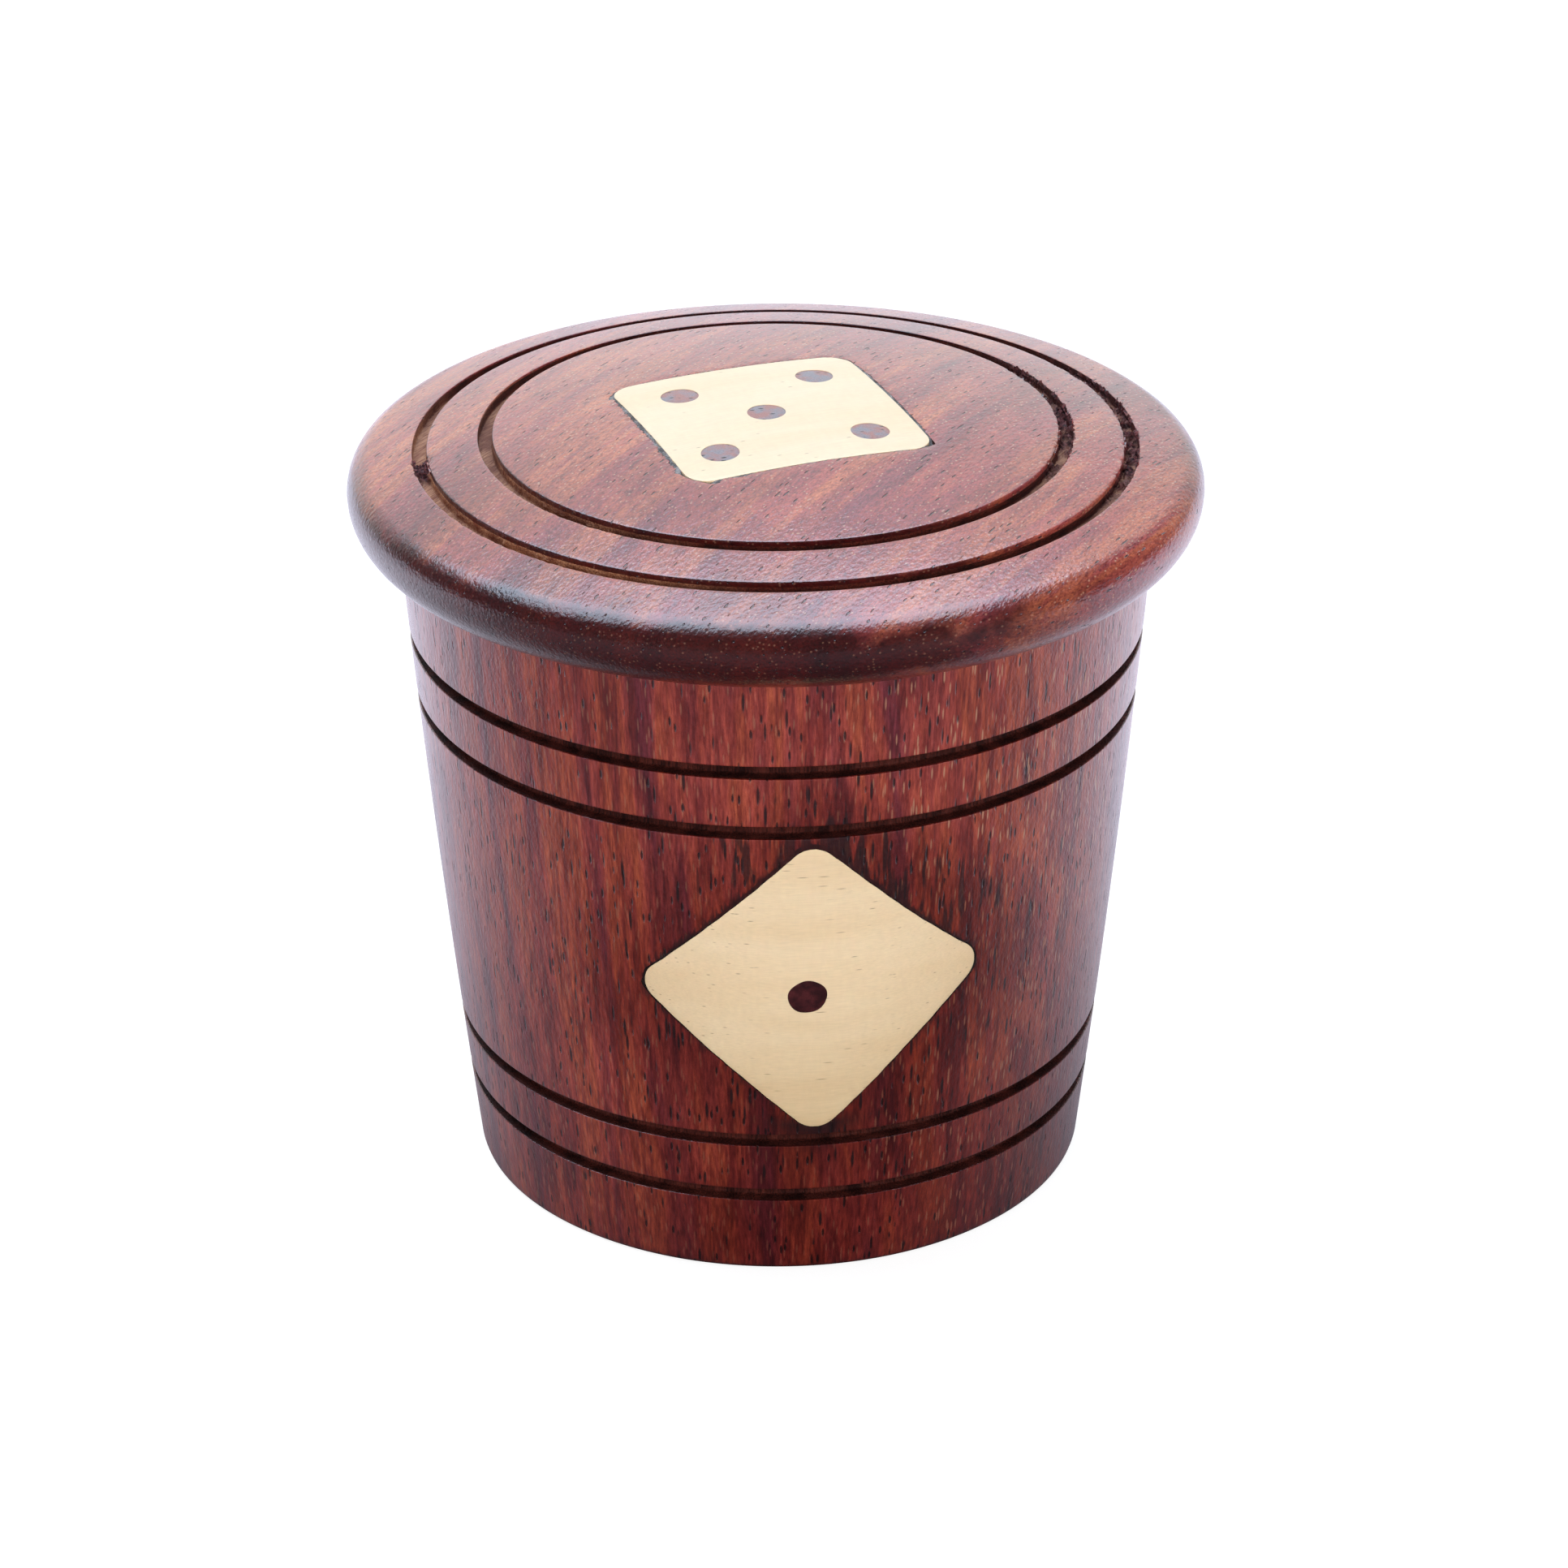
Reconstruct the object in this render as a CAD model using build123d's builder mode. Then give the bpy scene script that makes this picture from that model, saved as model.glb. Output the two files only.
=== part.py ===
"""A turned rosewood dice box: a tapered cup with a lift-off lid and five loose dice.

The cup is turned from one billet with its grain upright, and bored out from the mouth.
Two pairs of parting-tool grooves ring its wall, and a pale wooden die face, a flat-backed
plate with one dark plug, is let into the front between them and dressed flush with the
tapered, slightly bellied wall.  The lid is turned from a plank: a crowned disc with a
rounded edge and two ring grooves, a pale die face with five dark plugs let into its top,
and a spigot below that drops into the cup's mouth.  Dark filler closes the seam round
both plates.  Five wooden dice lie on the cup's floor.

Frame: +Z up, origin at the centre of the cup's base, the cup's die face looking along -Y.
"""

import os
from math import atan2, cos, degrees, radians, sin, sqrt

from build123d import *

# ---------------------------------------------------------------- driving sizes, millimetres

# dice
die_size = 12.0
die_edge_chamfer = 0.8
die_gap = 0.5  # the least space between neighbours, however they are turned
spot_radius = 1.1
spot_depth = 0.65  # a drill point's cone
spot_offset = 3.0
# each die's upper face, its drift round the ring and its own turn, in degrees
dice_lie = [(5, 0, 12), (3, 2, 51), (6, -2, 77), (1, 1, 34), (4, -1, 63)]

# cup
cup_height = 64.9
cup_spread = 6.1  # mouth radius less base radius, outside
cup_belly = 0.35  # how far the wall swells past a straight taper, half-way up
base_edge_round = 0.6
mouth_edge_round = 0.5
floor_thickness = 7.0
floor_wall = 6.6  # wall at the level of the floor
floor_corner_round = 2.0
dice_room = 1.3  # ring of dice to the wall
rim_width = 6.2  # wall at the mouth
ledge = 1.0  # step from the lid's seat in to the bore

# the grooves round the wall, in two pairs
wall_groove_width = 1.3
wall_groove_depth = 1.2
wall_groove_spacing = 6.3
lower_groove_height = 8.7  # base to the lowest groove
upper_groove_drop = 9.7  # mouth down to the highest groove

# lid
lid_overhang = 4.6  # past the cup's mouth, at the widest part of the rounded edge
lid_underside_overhang = 1.5
lid_widest_height = 4.1  # above the underside
lid_shoulder_inset = 1.6  # from the widest part in to where the crown begins
lid_shoulder_height = 6.7  # above the underside
lid_crown = 4.8  # rise of the top from the shoulder to the centre
spigot_height = 5.0
spigot_clearance = 0.35  # all round, in the mouth
spigot_relief = 1.0  # from the spigot's end to the ledge
spigot_chamfer = 0.8

# the two ring grooves in the lid's top
lid_groove_width = 1.5
lid_groove_depth = 1.2
lid_groove_inset = 6.9  # lid edge to the outer groove
lid_groove_spacing = 6.2

# the die faces let into the lid and the cup
filler_seam = 0.35
lid_plate_side = 24.0
lid_plate_corner = 2.4
lid_plate_thickness = 2.6  # at its middle
lid_plate_turn = 14.8  # degrees about the lid's axis
lid_plate_centre = (-0.6, -0.9)  # a little off the axis, as laid by hand
front_plate_corner = 2.4
front_plate_edge = 1.0  # thickness left at the side corners, where the wall curves back
front_plate_margin = 0.95  # plate's tips to the grooves above and below

# the dark plugs that are the plates' spots
plug_radius = 1.8
plug_depth = 1.6
lid_plug_offset = 7.0  # middle of the plate to the corner plugs, along both sides
front_plug_shift = (-0.6, -0.7)  # the single plug sits a little left of and below centre

# ---------------------------------------------------------------- sizes that follow

# A die reaches this far from its own axis, so five stand free in a ring on the floor.
die_reach = sqrt((die_size / 2) ** 2 + (die_size / 2 - die_edge_chamfer) ** 2)
ring_step = 360 / len(dice_lie)
drifts = [drift for _, drift, _ in dice_lie]
closest_step = ring_step + min(b - a for a, b in zip(drifts, drifts[1:] + drifts[:1]))
dice_ring_radius = (die_reach + die_gap / 2) / sin(radians(closest_step / 2))
floor_radius = dice_ring_radius + die_reach + dice_room


def wall_growth(height):
    """How much wider the cup's outer radius is at a height than at the base."""
    share = height / cup_height
    return cup_spread * share + 4 * cup_belly * share * (1 - share)


cup_base_radius = floor_radius + floor_wall - wall_growth(floor_thickness)
cup_top_radius = cup_base_radius + cup_spread
cup_taper = degrees(atan2(cup_spread, cup_height))
mouth_radius = cup_top_radius - rim_width
mouth_depth = spigot_height + spigot_relief
wall_groove_heights = [
    lower_groove_height,
    lower_groove_height + wall_groove_spacing,
    cup_height - upper_groove_drop - wall_groove_spacing,
    cup_height - upper_groove_drop,
]

lid_radius = cup_top_radius + lid_overhang
lid_underside_radius = cup_top_radius + lid_underside_overhang
lid_shoulder_radius = lid_radius - lid_shoulder_inset
lid_shoulder_z = cup_height + lid_shoulder_height
lid_top = lid_shoulder_z + lid_crown
lid_crown_radius = (lid_shoulder_radius**2 + lid_crown**2) / (2 * lid_crown)
lid_groove_radii = [
    lid_radius - lid_groove_inset,
    lid_radius - lid_groove_inset - lid_groove_spacing,
]


def lid_top_at(radius):
    """The height of the crowned top at a distance from the axis."""
    return lid_top - lid_crown_radius + sqrt(lid_crown_radius**2 - radius**2)


# The front plate stands on one corner and fills the band between the inner two grooves.
plate_band_bottom = wall_groove_heights[1] + wall_groove_width / 2
plate_band_top = wall_groove_heights[2] - wall_groove_width / 2
front_plate_height = (plate_band_top + plate_band_bottom) / 2
front_plate_reach = (plate_band_top - plate_band_bottom) / 2 - front_plate_margin
front_plate_side = sqrt(2) * (front_plate_reach + front_plate_corner * (sqrt(2) - 1))

# Its flat back lies parallel to the wall, deep enough to leave an edge at the side corners.
front_wall_radius = cup_base_radius + wall_growth(front_plate_height)
front_seat_radius = sqrt(front_wall_radius**2 - front_plate_reach**2) - front_plate_edge
front_plate_thickness = front_wall_radius - front_seat_radius
front_seat = Plane(
    origin=(0, -front_seat_radius, front_plate_height),
    x_dir=(1, 0, 0),
    z_dir=(0, -cos(radians(cup_taper)), -sin(radians(cup_taper))),
)
lid_seat = Plane(origin=(*lid_plate_centre, lid_top - lid_plate_thickness))

lid_plug_places = [
    (0, 0),
    (lid_plug_offset, lid_plug_offset),
    (lid_plug_offset, -lid_plug_offset),
    (-lid_plug_offset, lid_plug_offset),
    (-lid_plug_offset, -lid_plug_offset),
]

# ---------------------------------------------------------------- turned blanks

with BuildPart() as cup_blank:
    half_height = cup_height / 2
    with BuildSketch(Plane.XZ) as cup_section:
        with BuildLine():
            ThreePointArc(
                (cup_base_radius, 0),
                (cup_base_radius + wall_growth(half_height), half_height),
                (cup_top_radius, cup_height),
            )
            Polyline(
                (cup_top_radius, cup_height),
                (0, cup_height),
                (0, 0),
                (cup_base_radius, 0),
            )
        make_face()
        mouth_corner = cup_section.vertices().sort_by(Axis.X)[-1]
        fillet(mouth_corner, mouth_edge_round)
        base_corner = cup_section.vertices().group_by(Axis.Y)[0].sort_by(Axis.X)[-1]
        fillet(base_corner, base_edge_round)
    revolve(axis=Axis.Z)

with BuildPart() as lid_blank:
    spigot_radius = mouth_radius - spigot_clearance
    spigot_end = cup_height - spigot_height
    widest = (lid_radius, cup_height + lid_widest_height)
    shoulder = (lid_shoulder_radius, lid_shoulder_z)
    with BuildSketch(Plane.XZ):
        with BuildLine():
            Polyline(
                (0, lid_top),
                (0, spigot_end),
                (spigot_radius - spigot_chamfer, spigot_end),
                (spigot_radius, spigot_end + spigot_chamfer),
                (spigot_radius, cup_height),
                (lid_underside_radius, cup_height),
            )
            TangentArc(widest, (lid_underside_radius, cup_height), tangent=(0, -1))
            TangentArc(widest, shoulder, tangent=(0, 1))
            ThreePointArc(
                shoulder,
                (lid_shoulder_radius / 2, lid_top_at(lid_shoulder_radius / 2)),
                (0, lid_top),
            )
        make_face()
    revolve(axis=Axis.Z)

# ---------------------------------------------------------------- inlay tools


def plate_prism(seat, side, corner, turn):
    """A rounded square standing on its seat and reaching out past the turned surface."""
    with BuildPart() as prism:
        with BuildSketch(seat):
            RectangleRounded(side, side, corner, rotation=turn)
        extrude(amount=lid_radius)
    return prism.part


def plug_bars(seat, places, turn, plate_thickness):
    """Round bars for the plugs, from their depth in the plate to past its face."""
    with BuildPart() as bars:
        with BuildSketch(seat.offset(plate_thickness - plug_depth)):
            with Locations(Location((0, 0, 0), (0, 0, turn))):
                with Locations(*places):
                    Circle(plug_radius)
        extrude(amount=lid_radius)
    return bars.part


def shared_solids(blank, tool):
    """What the turned blank and a tool have in common."""
    with BuildPart() as shared:
        add(blank)
        add(tool, mode=Mode.INTERSECT)
    return shared.part


lid_prism = plate_prism(lid_seat, lid_plate_side, lid_plate_corner, lid_plate_turn)
lid_pocket = plate_prism(
    lid_seat,
    lid_plate_side + 2 * filler_seam,
    lid_plate_corner + filler_seam,
    lid_plate_turn,
)
lid_bars = plug_bars(lid_seat, lid_plug_places, lid_plate_turn, lid_plate_thickness)

front_prism = plate_prism(front_seat, front_plate_side, front_plate_corner, 45)
front_pocket = plate_prism(
    front_seat,
    front_plate_side + 2 * filler_seam,
    front_plate_corner + filler_seam,
    45,
)
front_bar = plug_bars(front_seat, [front_plug_shift], 0, front_plate_thickness)

# ---------------------------------------------------------------- cup and lid

with BuildPart() as cup:
    add(cup_blank.part)
    ledge_height = cup_height - mouth_depth
    with BuildSketch(Plane.XZ):
        with BuildLine():
            Polyline(
                (0, floor_thickness),
                (floor_radius, floor_thickness),
                (mouth_radius - ledge, ledge_height),
                (mouth_radius, ledge_height),
                (mouth_radius, cup_height + mouth_edge_round),
                (0, cup_height + mouth_edge_round),
                close=True,
            )
        bore_section = make_face()
        fillet(
            bore_section.vertices().group_by(Axis.Y)[0].sort_by(Axis.X)[-1],
            floor_corner_round,
        )
    revolve(axis=Axis.Z, mode=Mode.SUBTRACT)
    with BuildSketch(Plane.XZ):
        for height in wall_groove_heights:
            with Locations((cup_base_radius + wall_growth(height), height)):
                Rectangle(2 * wall_groove_depth, wall_groove_width, rotation=-cup_taper)
    revolve(axis=Axis.Z, mode=Mode.SUBTRACT)
    add(front_pocket, mode=Mode.SUBTRACT)

with BuildPart() as lid:
    add(lid_blank.part)
    with BuildSketch(Plane.XZ):
        for radius in lid_groove_radii:
            with Locations((radius, lid_top_at(radius))):
                Rectangle(lid_groove_width, 2 * lid_groove_depth)
    revolve(axis=Axis.Z, mode=Mode.SUBTRACT)
    add(lid_pocket, mode=Mode.SUBTRACT)

# ---------------------------------------------------------------- die faces let in

with BuildPart() as lid_plate:
    add(shared_solids(lid_blank.part, lid_prism))
    add(lid_bars, mode=Mode.SUBTRACT)

with BuildPart() as lid_plate_filler:
    add(shared_solids(lid_blank.part, lid_pocket))
    add(lid_prism, mode=Mode.SUBTRACT)

with BuildPart() as lid_plate_plugs:
    add(shared_solids(lid_blank.part, lid_bars))

with BuildPart() as front_plate:
    add(shared_solids(cup_blank.part, front_prism))
    add(front_bar, mode=Mode.SUBTRACT)

with BuildPart() as front_plate_filler:
    add(shared_solids(cup_blank.part, front_pocket))
    add(front_prism, mode=Mode.SUBTRACT)

with BuildPart() as front_plate_plug:
    add(shared_solids(cup_blank.part, front_bar))

# ---------------------------------------------------------------- dice

spot_rows = {
    1: [(0, 0)],
    2: [(-1, 1), (1, -1)],
    3: [(-1, 1), (0, 0), (1, -1)],
    4: [(-1, 1), (1, 1), (-1, -1), (1, -1)],
    5: [(-1, 1), (1, 1), (0, 0), (-1, -1), (1, -1)],
    6: [(-1, 1), (-1, 0), (-1, -1), (1, 1), (1, 0), (1, -1)],
}
# Opposite faces add up to seven.
die_faces = {
    1: Plane.XY,
    2: Plane.XZ,
    3: Plane.YZ,
    4: -Plane.YZ,
    5: -Plane.XZ,
    6: -Plane.XY,
}
# the turn that brings each face uppermost
face_up_turn = {
    1: (0, 0, 0),
    2: (-90, 0, 0),
    3: (0, -90, 0),
    4: (0, 90, 0),
    5: (90, 0, 0),
    6: (180, 0, 0),
}

with BuildPart() as die:
    Box(die_size, die_size, die_size)
    chamfer(die.edges(), die_edge_chamfer)
    for count, face in die_faces.items():
        spots = [(spot_offset * x, spot_offset * y) for x, y in spot_rows[count]]
        with Locations(face.offset(die_size / 2)):
            with Locations(*spots):
                Cone(
                    0,
                    spot_radius,
                    spot_depth,
                    align=(Align.CENTER, Align.CENTER, Align.MAX),
                    mode=Mode.SUBTRACT,
                )

dice = []
for number, (face_up, drift, turn) in enumerate(dice_lie):
    bearing = radians(number * ring_step + drift)
    place = (
        dice_ring_radius * cos(bearing),
        dice_ring_radius * sin(bearing),
        floor_thickness + die_size / 2,
    )
    lie = Location(place, (0, 0, turn)) * Location((0, 0, 0), face_up_turn[face_up])
    with BuildPart() as placed_die:
        with Locations(lie):
            add(die.part)
    dice.append(placed_die)

# ---------------------------------------------------------------- one STEP file a piece

os.makedirs("parts", exist_ok=True)
pieces = {
    "cup": cup,
    "lid": lid,
    "lid_plate": lid_plate,
    "lid_plate_filler": lid_plate_filler,
    "lid_plate_plugs": lid_plate_plugs,
    "front_plate": front_plate,
    "front_plate_filler": front_plate_filler,
    "front_plate_plug": front_plate_plug,
}
for number, placed_die in enumerate(dice, start=1):
    pieces[f"die_{number}"] = placed_die

for name, piece in pieces.items():
    piece.part.label = name
    export_step(piece.part, f"parts/{name}.step")
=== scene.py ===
"""The turned dice box as it is finished: grain, lacquer, inlays, filler, tool marks and dice.

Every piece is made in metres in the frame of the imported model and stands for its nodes.  The
cup and the lid are turned from a section by one Geometry Nodes tree, which also tears out the
groove edges.  Each inlaid plate, its filler, its plugs and the wood round it are cut from one
triangulated patch, so that they meet edge to edge on the turned surface.
"""

from functools import partial
from math import atan2, cos, pi, radians, sin, sqrt, tau

import bmesh
import bpy
import numpy as np
from mathutils import Euler, Matrix, Vector, kdtree
from mathutils.geometry import delaunay_2d_cdt


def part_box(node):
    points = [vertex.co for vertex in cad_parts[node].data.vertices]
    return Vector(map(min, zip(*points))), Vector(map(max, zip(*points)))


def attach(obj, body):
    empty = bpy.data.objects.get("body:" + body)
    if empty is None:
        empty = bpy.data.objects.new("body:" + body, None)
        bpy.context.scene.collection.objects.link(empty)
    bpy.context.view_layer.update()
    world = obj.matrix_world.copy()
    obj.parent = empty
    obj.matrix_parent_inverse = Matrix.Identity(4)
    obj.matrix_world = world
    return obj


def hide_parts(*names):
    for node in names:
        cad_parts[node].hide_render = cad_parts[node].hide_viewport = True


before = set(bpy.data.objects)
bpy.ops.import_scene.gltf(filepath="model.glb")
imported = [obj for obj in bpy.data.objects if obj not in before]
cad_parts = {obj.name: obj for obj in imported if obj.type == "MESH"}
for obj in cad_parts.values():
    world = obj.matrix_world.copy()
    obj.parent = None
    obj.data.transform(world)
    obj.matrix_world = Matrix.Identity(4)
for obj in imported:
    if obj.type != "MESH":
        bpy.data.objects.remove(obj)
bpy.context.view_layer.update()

MM = 0.001

# ---------------------------------------------------------------- sizes in millimetres

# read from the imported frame
lid_low, lid_high = (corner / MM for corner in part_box("lid"))
cup_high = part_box("cup")[1] / MM
die_low, die_high = (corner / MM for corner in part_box("die_1"))
lid_radius = lid_high.x
lid_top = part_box("lid_plate")[1].z / MM
spigot_end = lid_low.z
cup_height = cup_high.z
cup_top_radius = cup_high.x
floor_height = die_low.z
die_size = die_high.z - die_low.z

# the cup
cup_spread = 6.1  # mouth radius less base radius, outside
cup_belly = 0.35  # how far the wall swells past a straight taper, half-way up
cup_base_radius = cup_top_radius - cup_spread
base_round = 0.6
mouth_round = 0.5
rim_width = 6.2
mouth_radius = cup_top_radius - rim_width
seat_depth = 6.0
seat_height = cup_height - seat_depth
ledge = 1.0  # step from the lid's seat in to the bore
bore_radius = mouth_radius - ledge
floor_radius = cup_base_radius - 5.81  # the bore narrows a little on its way down
floor_round = 2.0

# the grooves round the wall, in two pairs
wall_grooves = [8.7, 15.0, cup_height - 16.0, cup_height - 9.7]  # heights of their middles
wall_groove_width = 1.3
groove_depth = 1.2

# the lid
lid_grooves = [lid_radius - 13.1, lid_radius - 6.9]  # radii of their middles
lid_groove_width = 1.35
lid_widest_height = cup_height + 4.1
lid_shoulder = (lid_radius - 1.6, cup_height + 6.7)  # where the crown meets the rounded edge
lid_crown = lid_top - lid_shoulder[1]
lid_crown_radius = (lid_shoulder[0] ** 2 + lid_crown**2) / (2 * lid_crown)
lid_underside_radius = cup_top_radius + 1.5
spigot_radius = mouth_radius - 0.35
spigot_chamfer = 0.8

# what the tools leave
arris = 0.14  # how far sanding and lacquer round over a cut edge
groove_root = 0.25  # the parting tool's blunt corner
torn_from, torn_to = 0.5, 0.85  # the band of a groove's wall that tears furthest, above its floor
tear_bearing = radians(2)  # where the tool met the lid's fibres end on
chip_bearing = radians(214)  # and where it left them
clot_bearing = radians(184)  # where dust stuck in the outer groove
weld = 0.001 * MM  # points closer than this are one

# the inlaid die faces and their plugs
plate_corner = 2.4
lid_plate_side = 24.0
lid_plate_thickness = 2.6
lid_plate_turn = radians(14.8)
lid_plate_centre = (-0.6, -0.9)
front_plate_turn = radians(0.9)  # how far the front plate leans off its corner
front_plate_rise = 0.3  # and how far it sits above the middle of its band
front_plate_edge = 1.0  # thickness left at the side corners, where the wall curves back
front_plate_margin = 0.95  # its tips to the grooves above and below
front_half_angle = radians(36)  # half of the wall's window round it
plug_radius = 1.8
plug_depth = 1.6
plug_offset = 7.0  # the middle of the lid's plate to its corner plugs, along both sides
front_plug_shift = (-0.6, -0.35)  # the single plug sits a little left of and below centre


def wall_radius(height):
    """The cup's outer radius at a height: a straight taper that swells a little."""
    share = height / cup_height
    return cup_base_radius + cup_spread * share + 4 * cup_belly * share * (1 - share)


def crown_height(radius):
    """The height of the lid's crowned top at a distance from the axis."""
    return lid_top - lid_crown_radius + np.sqrt(lid_crown_radius**2 - np.square(radius))


# the front plate stands on a corner in the band between the inner two grooves
band_low = wall_grooves[1] + wall_groove_width / 2
band_high = wall_grooves[2] - wall_groove_width / 2
plate_height = (band_low + band_high) / 2
front_reach = (band_high - band_low) / 2 - front_plate_margin
front_side = sqrt(2) * (front_reach + plate_corner * (sqrt(2) - 1))
front_wall = wall_radius(plate_height)
front_seat_radius = sqrt(front_wall**2 - front_reach**2) - front_plate_edge
taper = atan2(cup_spread, cup_height)

# ---------------------------------------------------------------- nodes


def linear(hex_colour):
    """A colour written in sRGB hex, as the linear RGBA that a shader takes."""
    channels = [int(hex_colour[k : k + 2], 16) / 255 for k in (1, 3, 5)]
    return tuple(c / 12.92 if c <= 0.04045 else ((c + 0.055) / 1.055) ** 2.4 for c in channels) + (1.0,)


def add(tree, kind, inputs=(), out=0, stops=(), **settings):
    """Adds a node with its settings, ramp stops and inputs, and returns one output of it.

    An input is a value, or the socket that it is linked to.  Numbered inputs are the operands
    of a maths node, the range that a Map Range reads (1, 2) and gives (3, 4), and the two
    colours of a Mix (6, 7).  With out=None the node itself comes back.
    """
    made = tree.nodes.new(kind)
    for name, value in settings.items():
        setattr(made, name, value)
    for name, value in dict(inputs).items():
        if isinstance(value, bpy.types.NodeSocket):
            tree.links.new(value, made.inputs[name])
        else:
            made.inputs[name].default_value = value
    for k, (place, colour) in enumerate(stops):
        elements = made.color_ramp.elements
        stop = elements[k] if k < 2 else elements.new(place)
        stop.position = place
        stop.color = linear(colour)
    return made if out is None else made.outputs[out]


def new_material(name):
    """An empty node material, a function that puts nodes in it, and its Object coordinates."""
    material = bpy.data.materials.new(name)
    material.use_nodes = True
    material.node_tree.nodes.clear()
    put = partial(add, material.node_tree)
    return material, put, put("ShaderNodeTexCoord", out="Object")


# ---------------------------------------------------------------- materials

# How rosewood grows.  Lengths are in mm, across, across and along the fibres.
layer_drift = (7.0, 7.0, 0.0)  # how far a growth layer wanders
layer_change = (0.06, 0.06, 0.02)  # how soon its colour changes, in noise cells per mm
figure_roughness = 0.62  # how much of the fine detail its figure keeps
pore_colour, pore_darkness, dust_colour = "#1c090b", 0.88, "#b4846c"
slot_core = 0.6  # the share of a pore's width that is full

# hard satin lacquer over sealer; the high coat index gives its clear highlight
satin_lacquer = {"IOR": 1.5, "Coat Weight": 1.0, "Coat Roughness": 0.22, "Coat IOR": 1.7}


def along_fibres(put, place, grain, sizes, seed=0.0):
    """Coordinates that run with the fibres, one set for each pattern's real size in mm.

    grain turns Z to the way the fibres lie, so the last size of each pattern is its length
    along them.
    """
    return {
        pattern: put(
            "ShaderNodeMapping",
            {
                "Vector": place,
                "Location": (seed + k, seed - k, k * 0.7),
                "Rotation": grain,
                "Scale": [extent * MM for extent in size],
            },
            vector_type="TEXTURE",
        )
        for k, (pattern, size) in enumerate(sizes.items())
    }


def cell_slots(put, where, inner, outer, full=1.0):
    """A slot in each cell of a pattern, full as far as inner and faded out at outer.

    The number that each cell draws comes with it, so that a share of the slots can be kept.
    """
    cell = put("ShaderNodeTexVoronoi", {"Vector": where, "Scale": 1.0}, out=None)
    draw = put("ShaderNodeSeparateColor", {"Color": cell.outputs["Color"]})
    slot = put(
        "ShaderNodeMapRange", {"Value": cell.outputs["Distance"], 1: inner, 2: outer, 3: full, 4: 0.0}
    )
    return slot, draw


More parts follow.
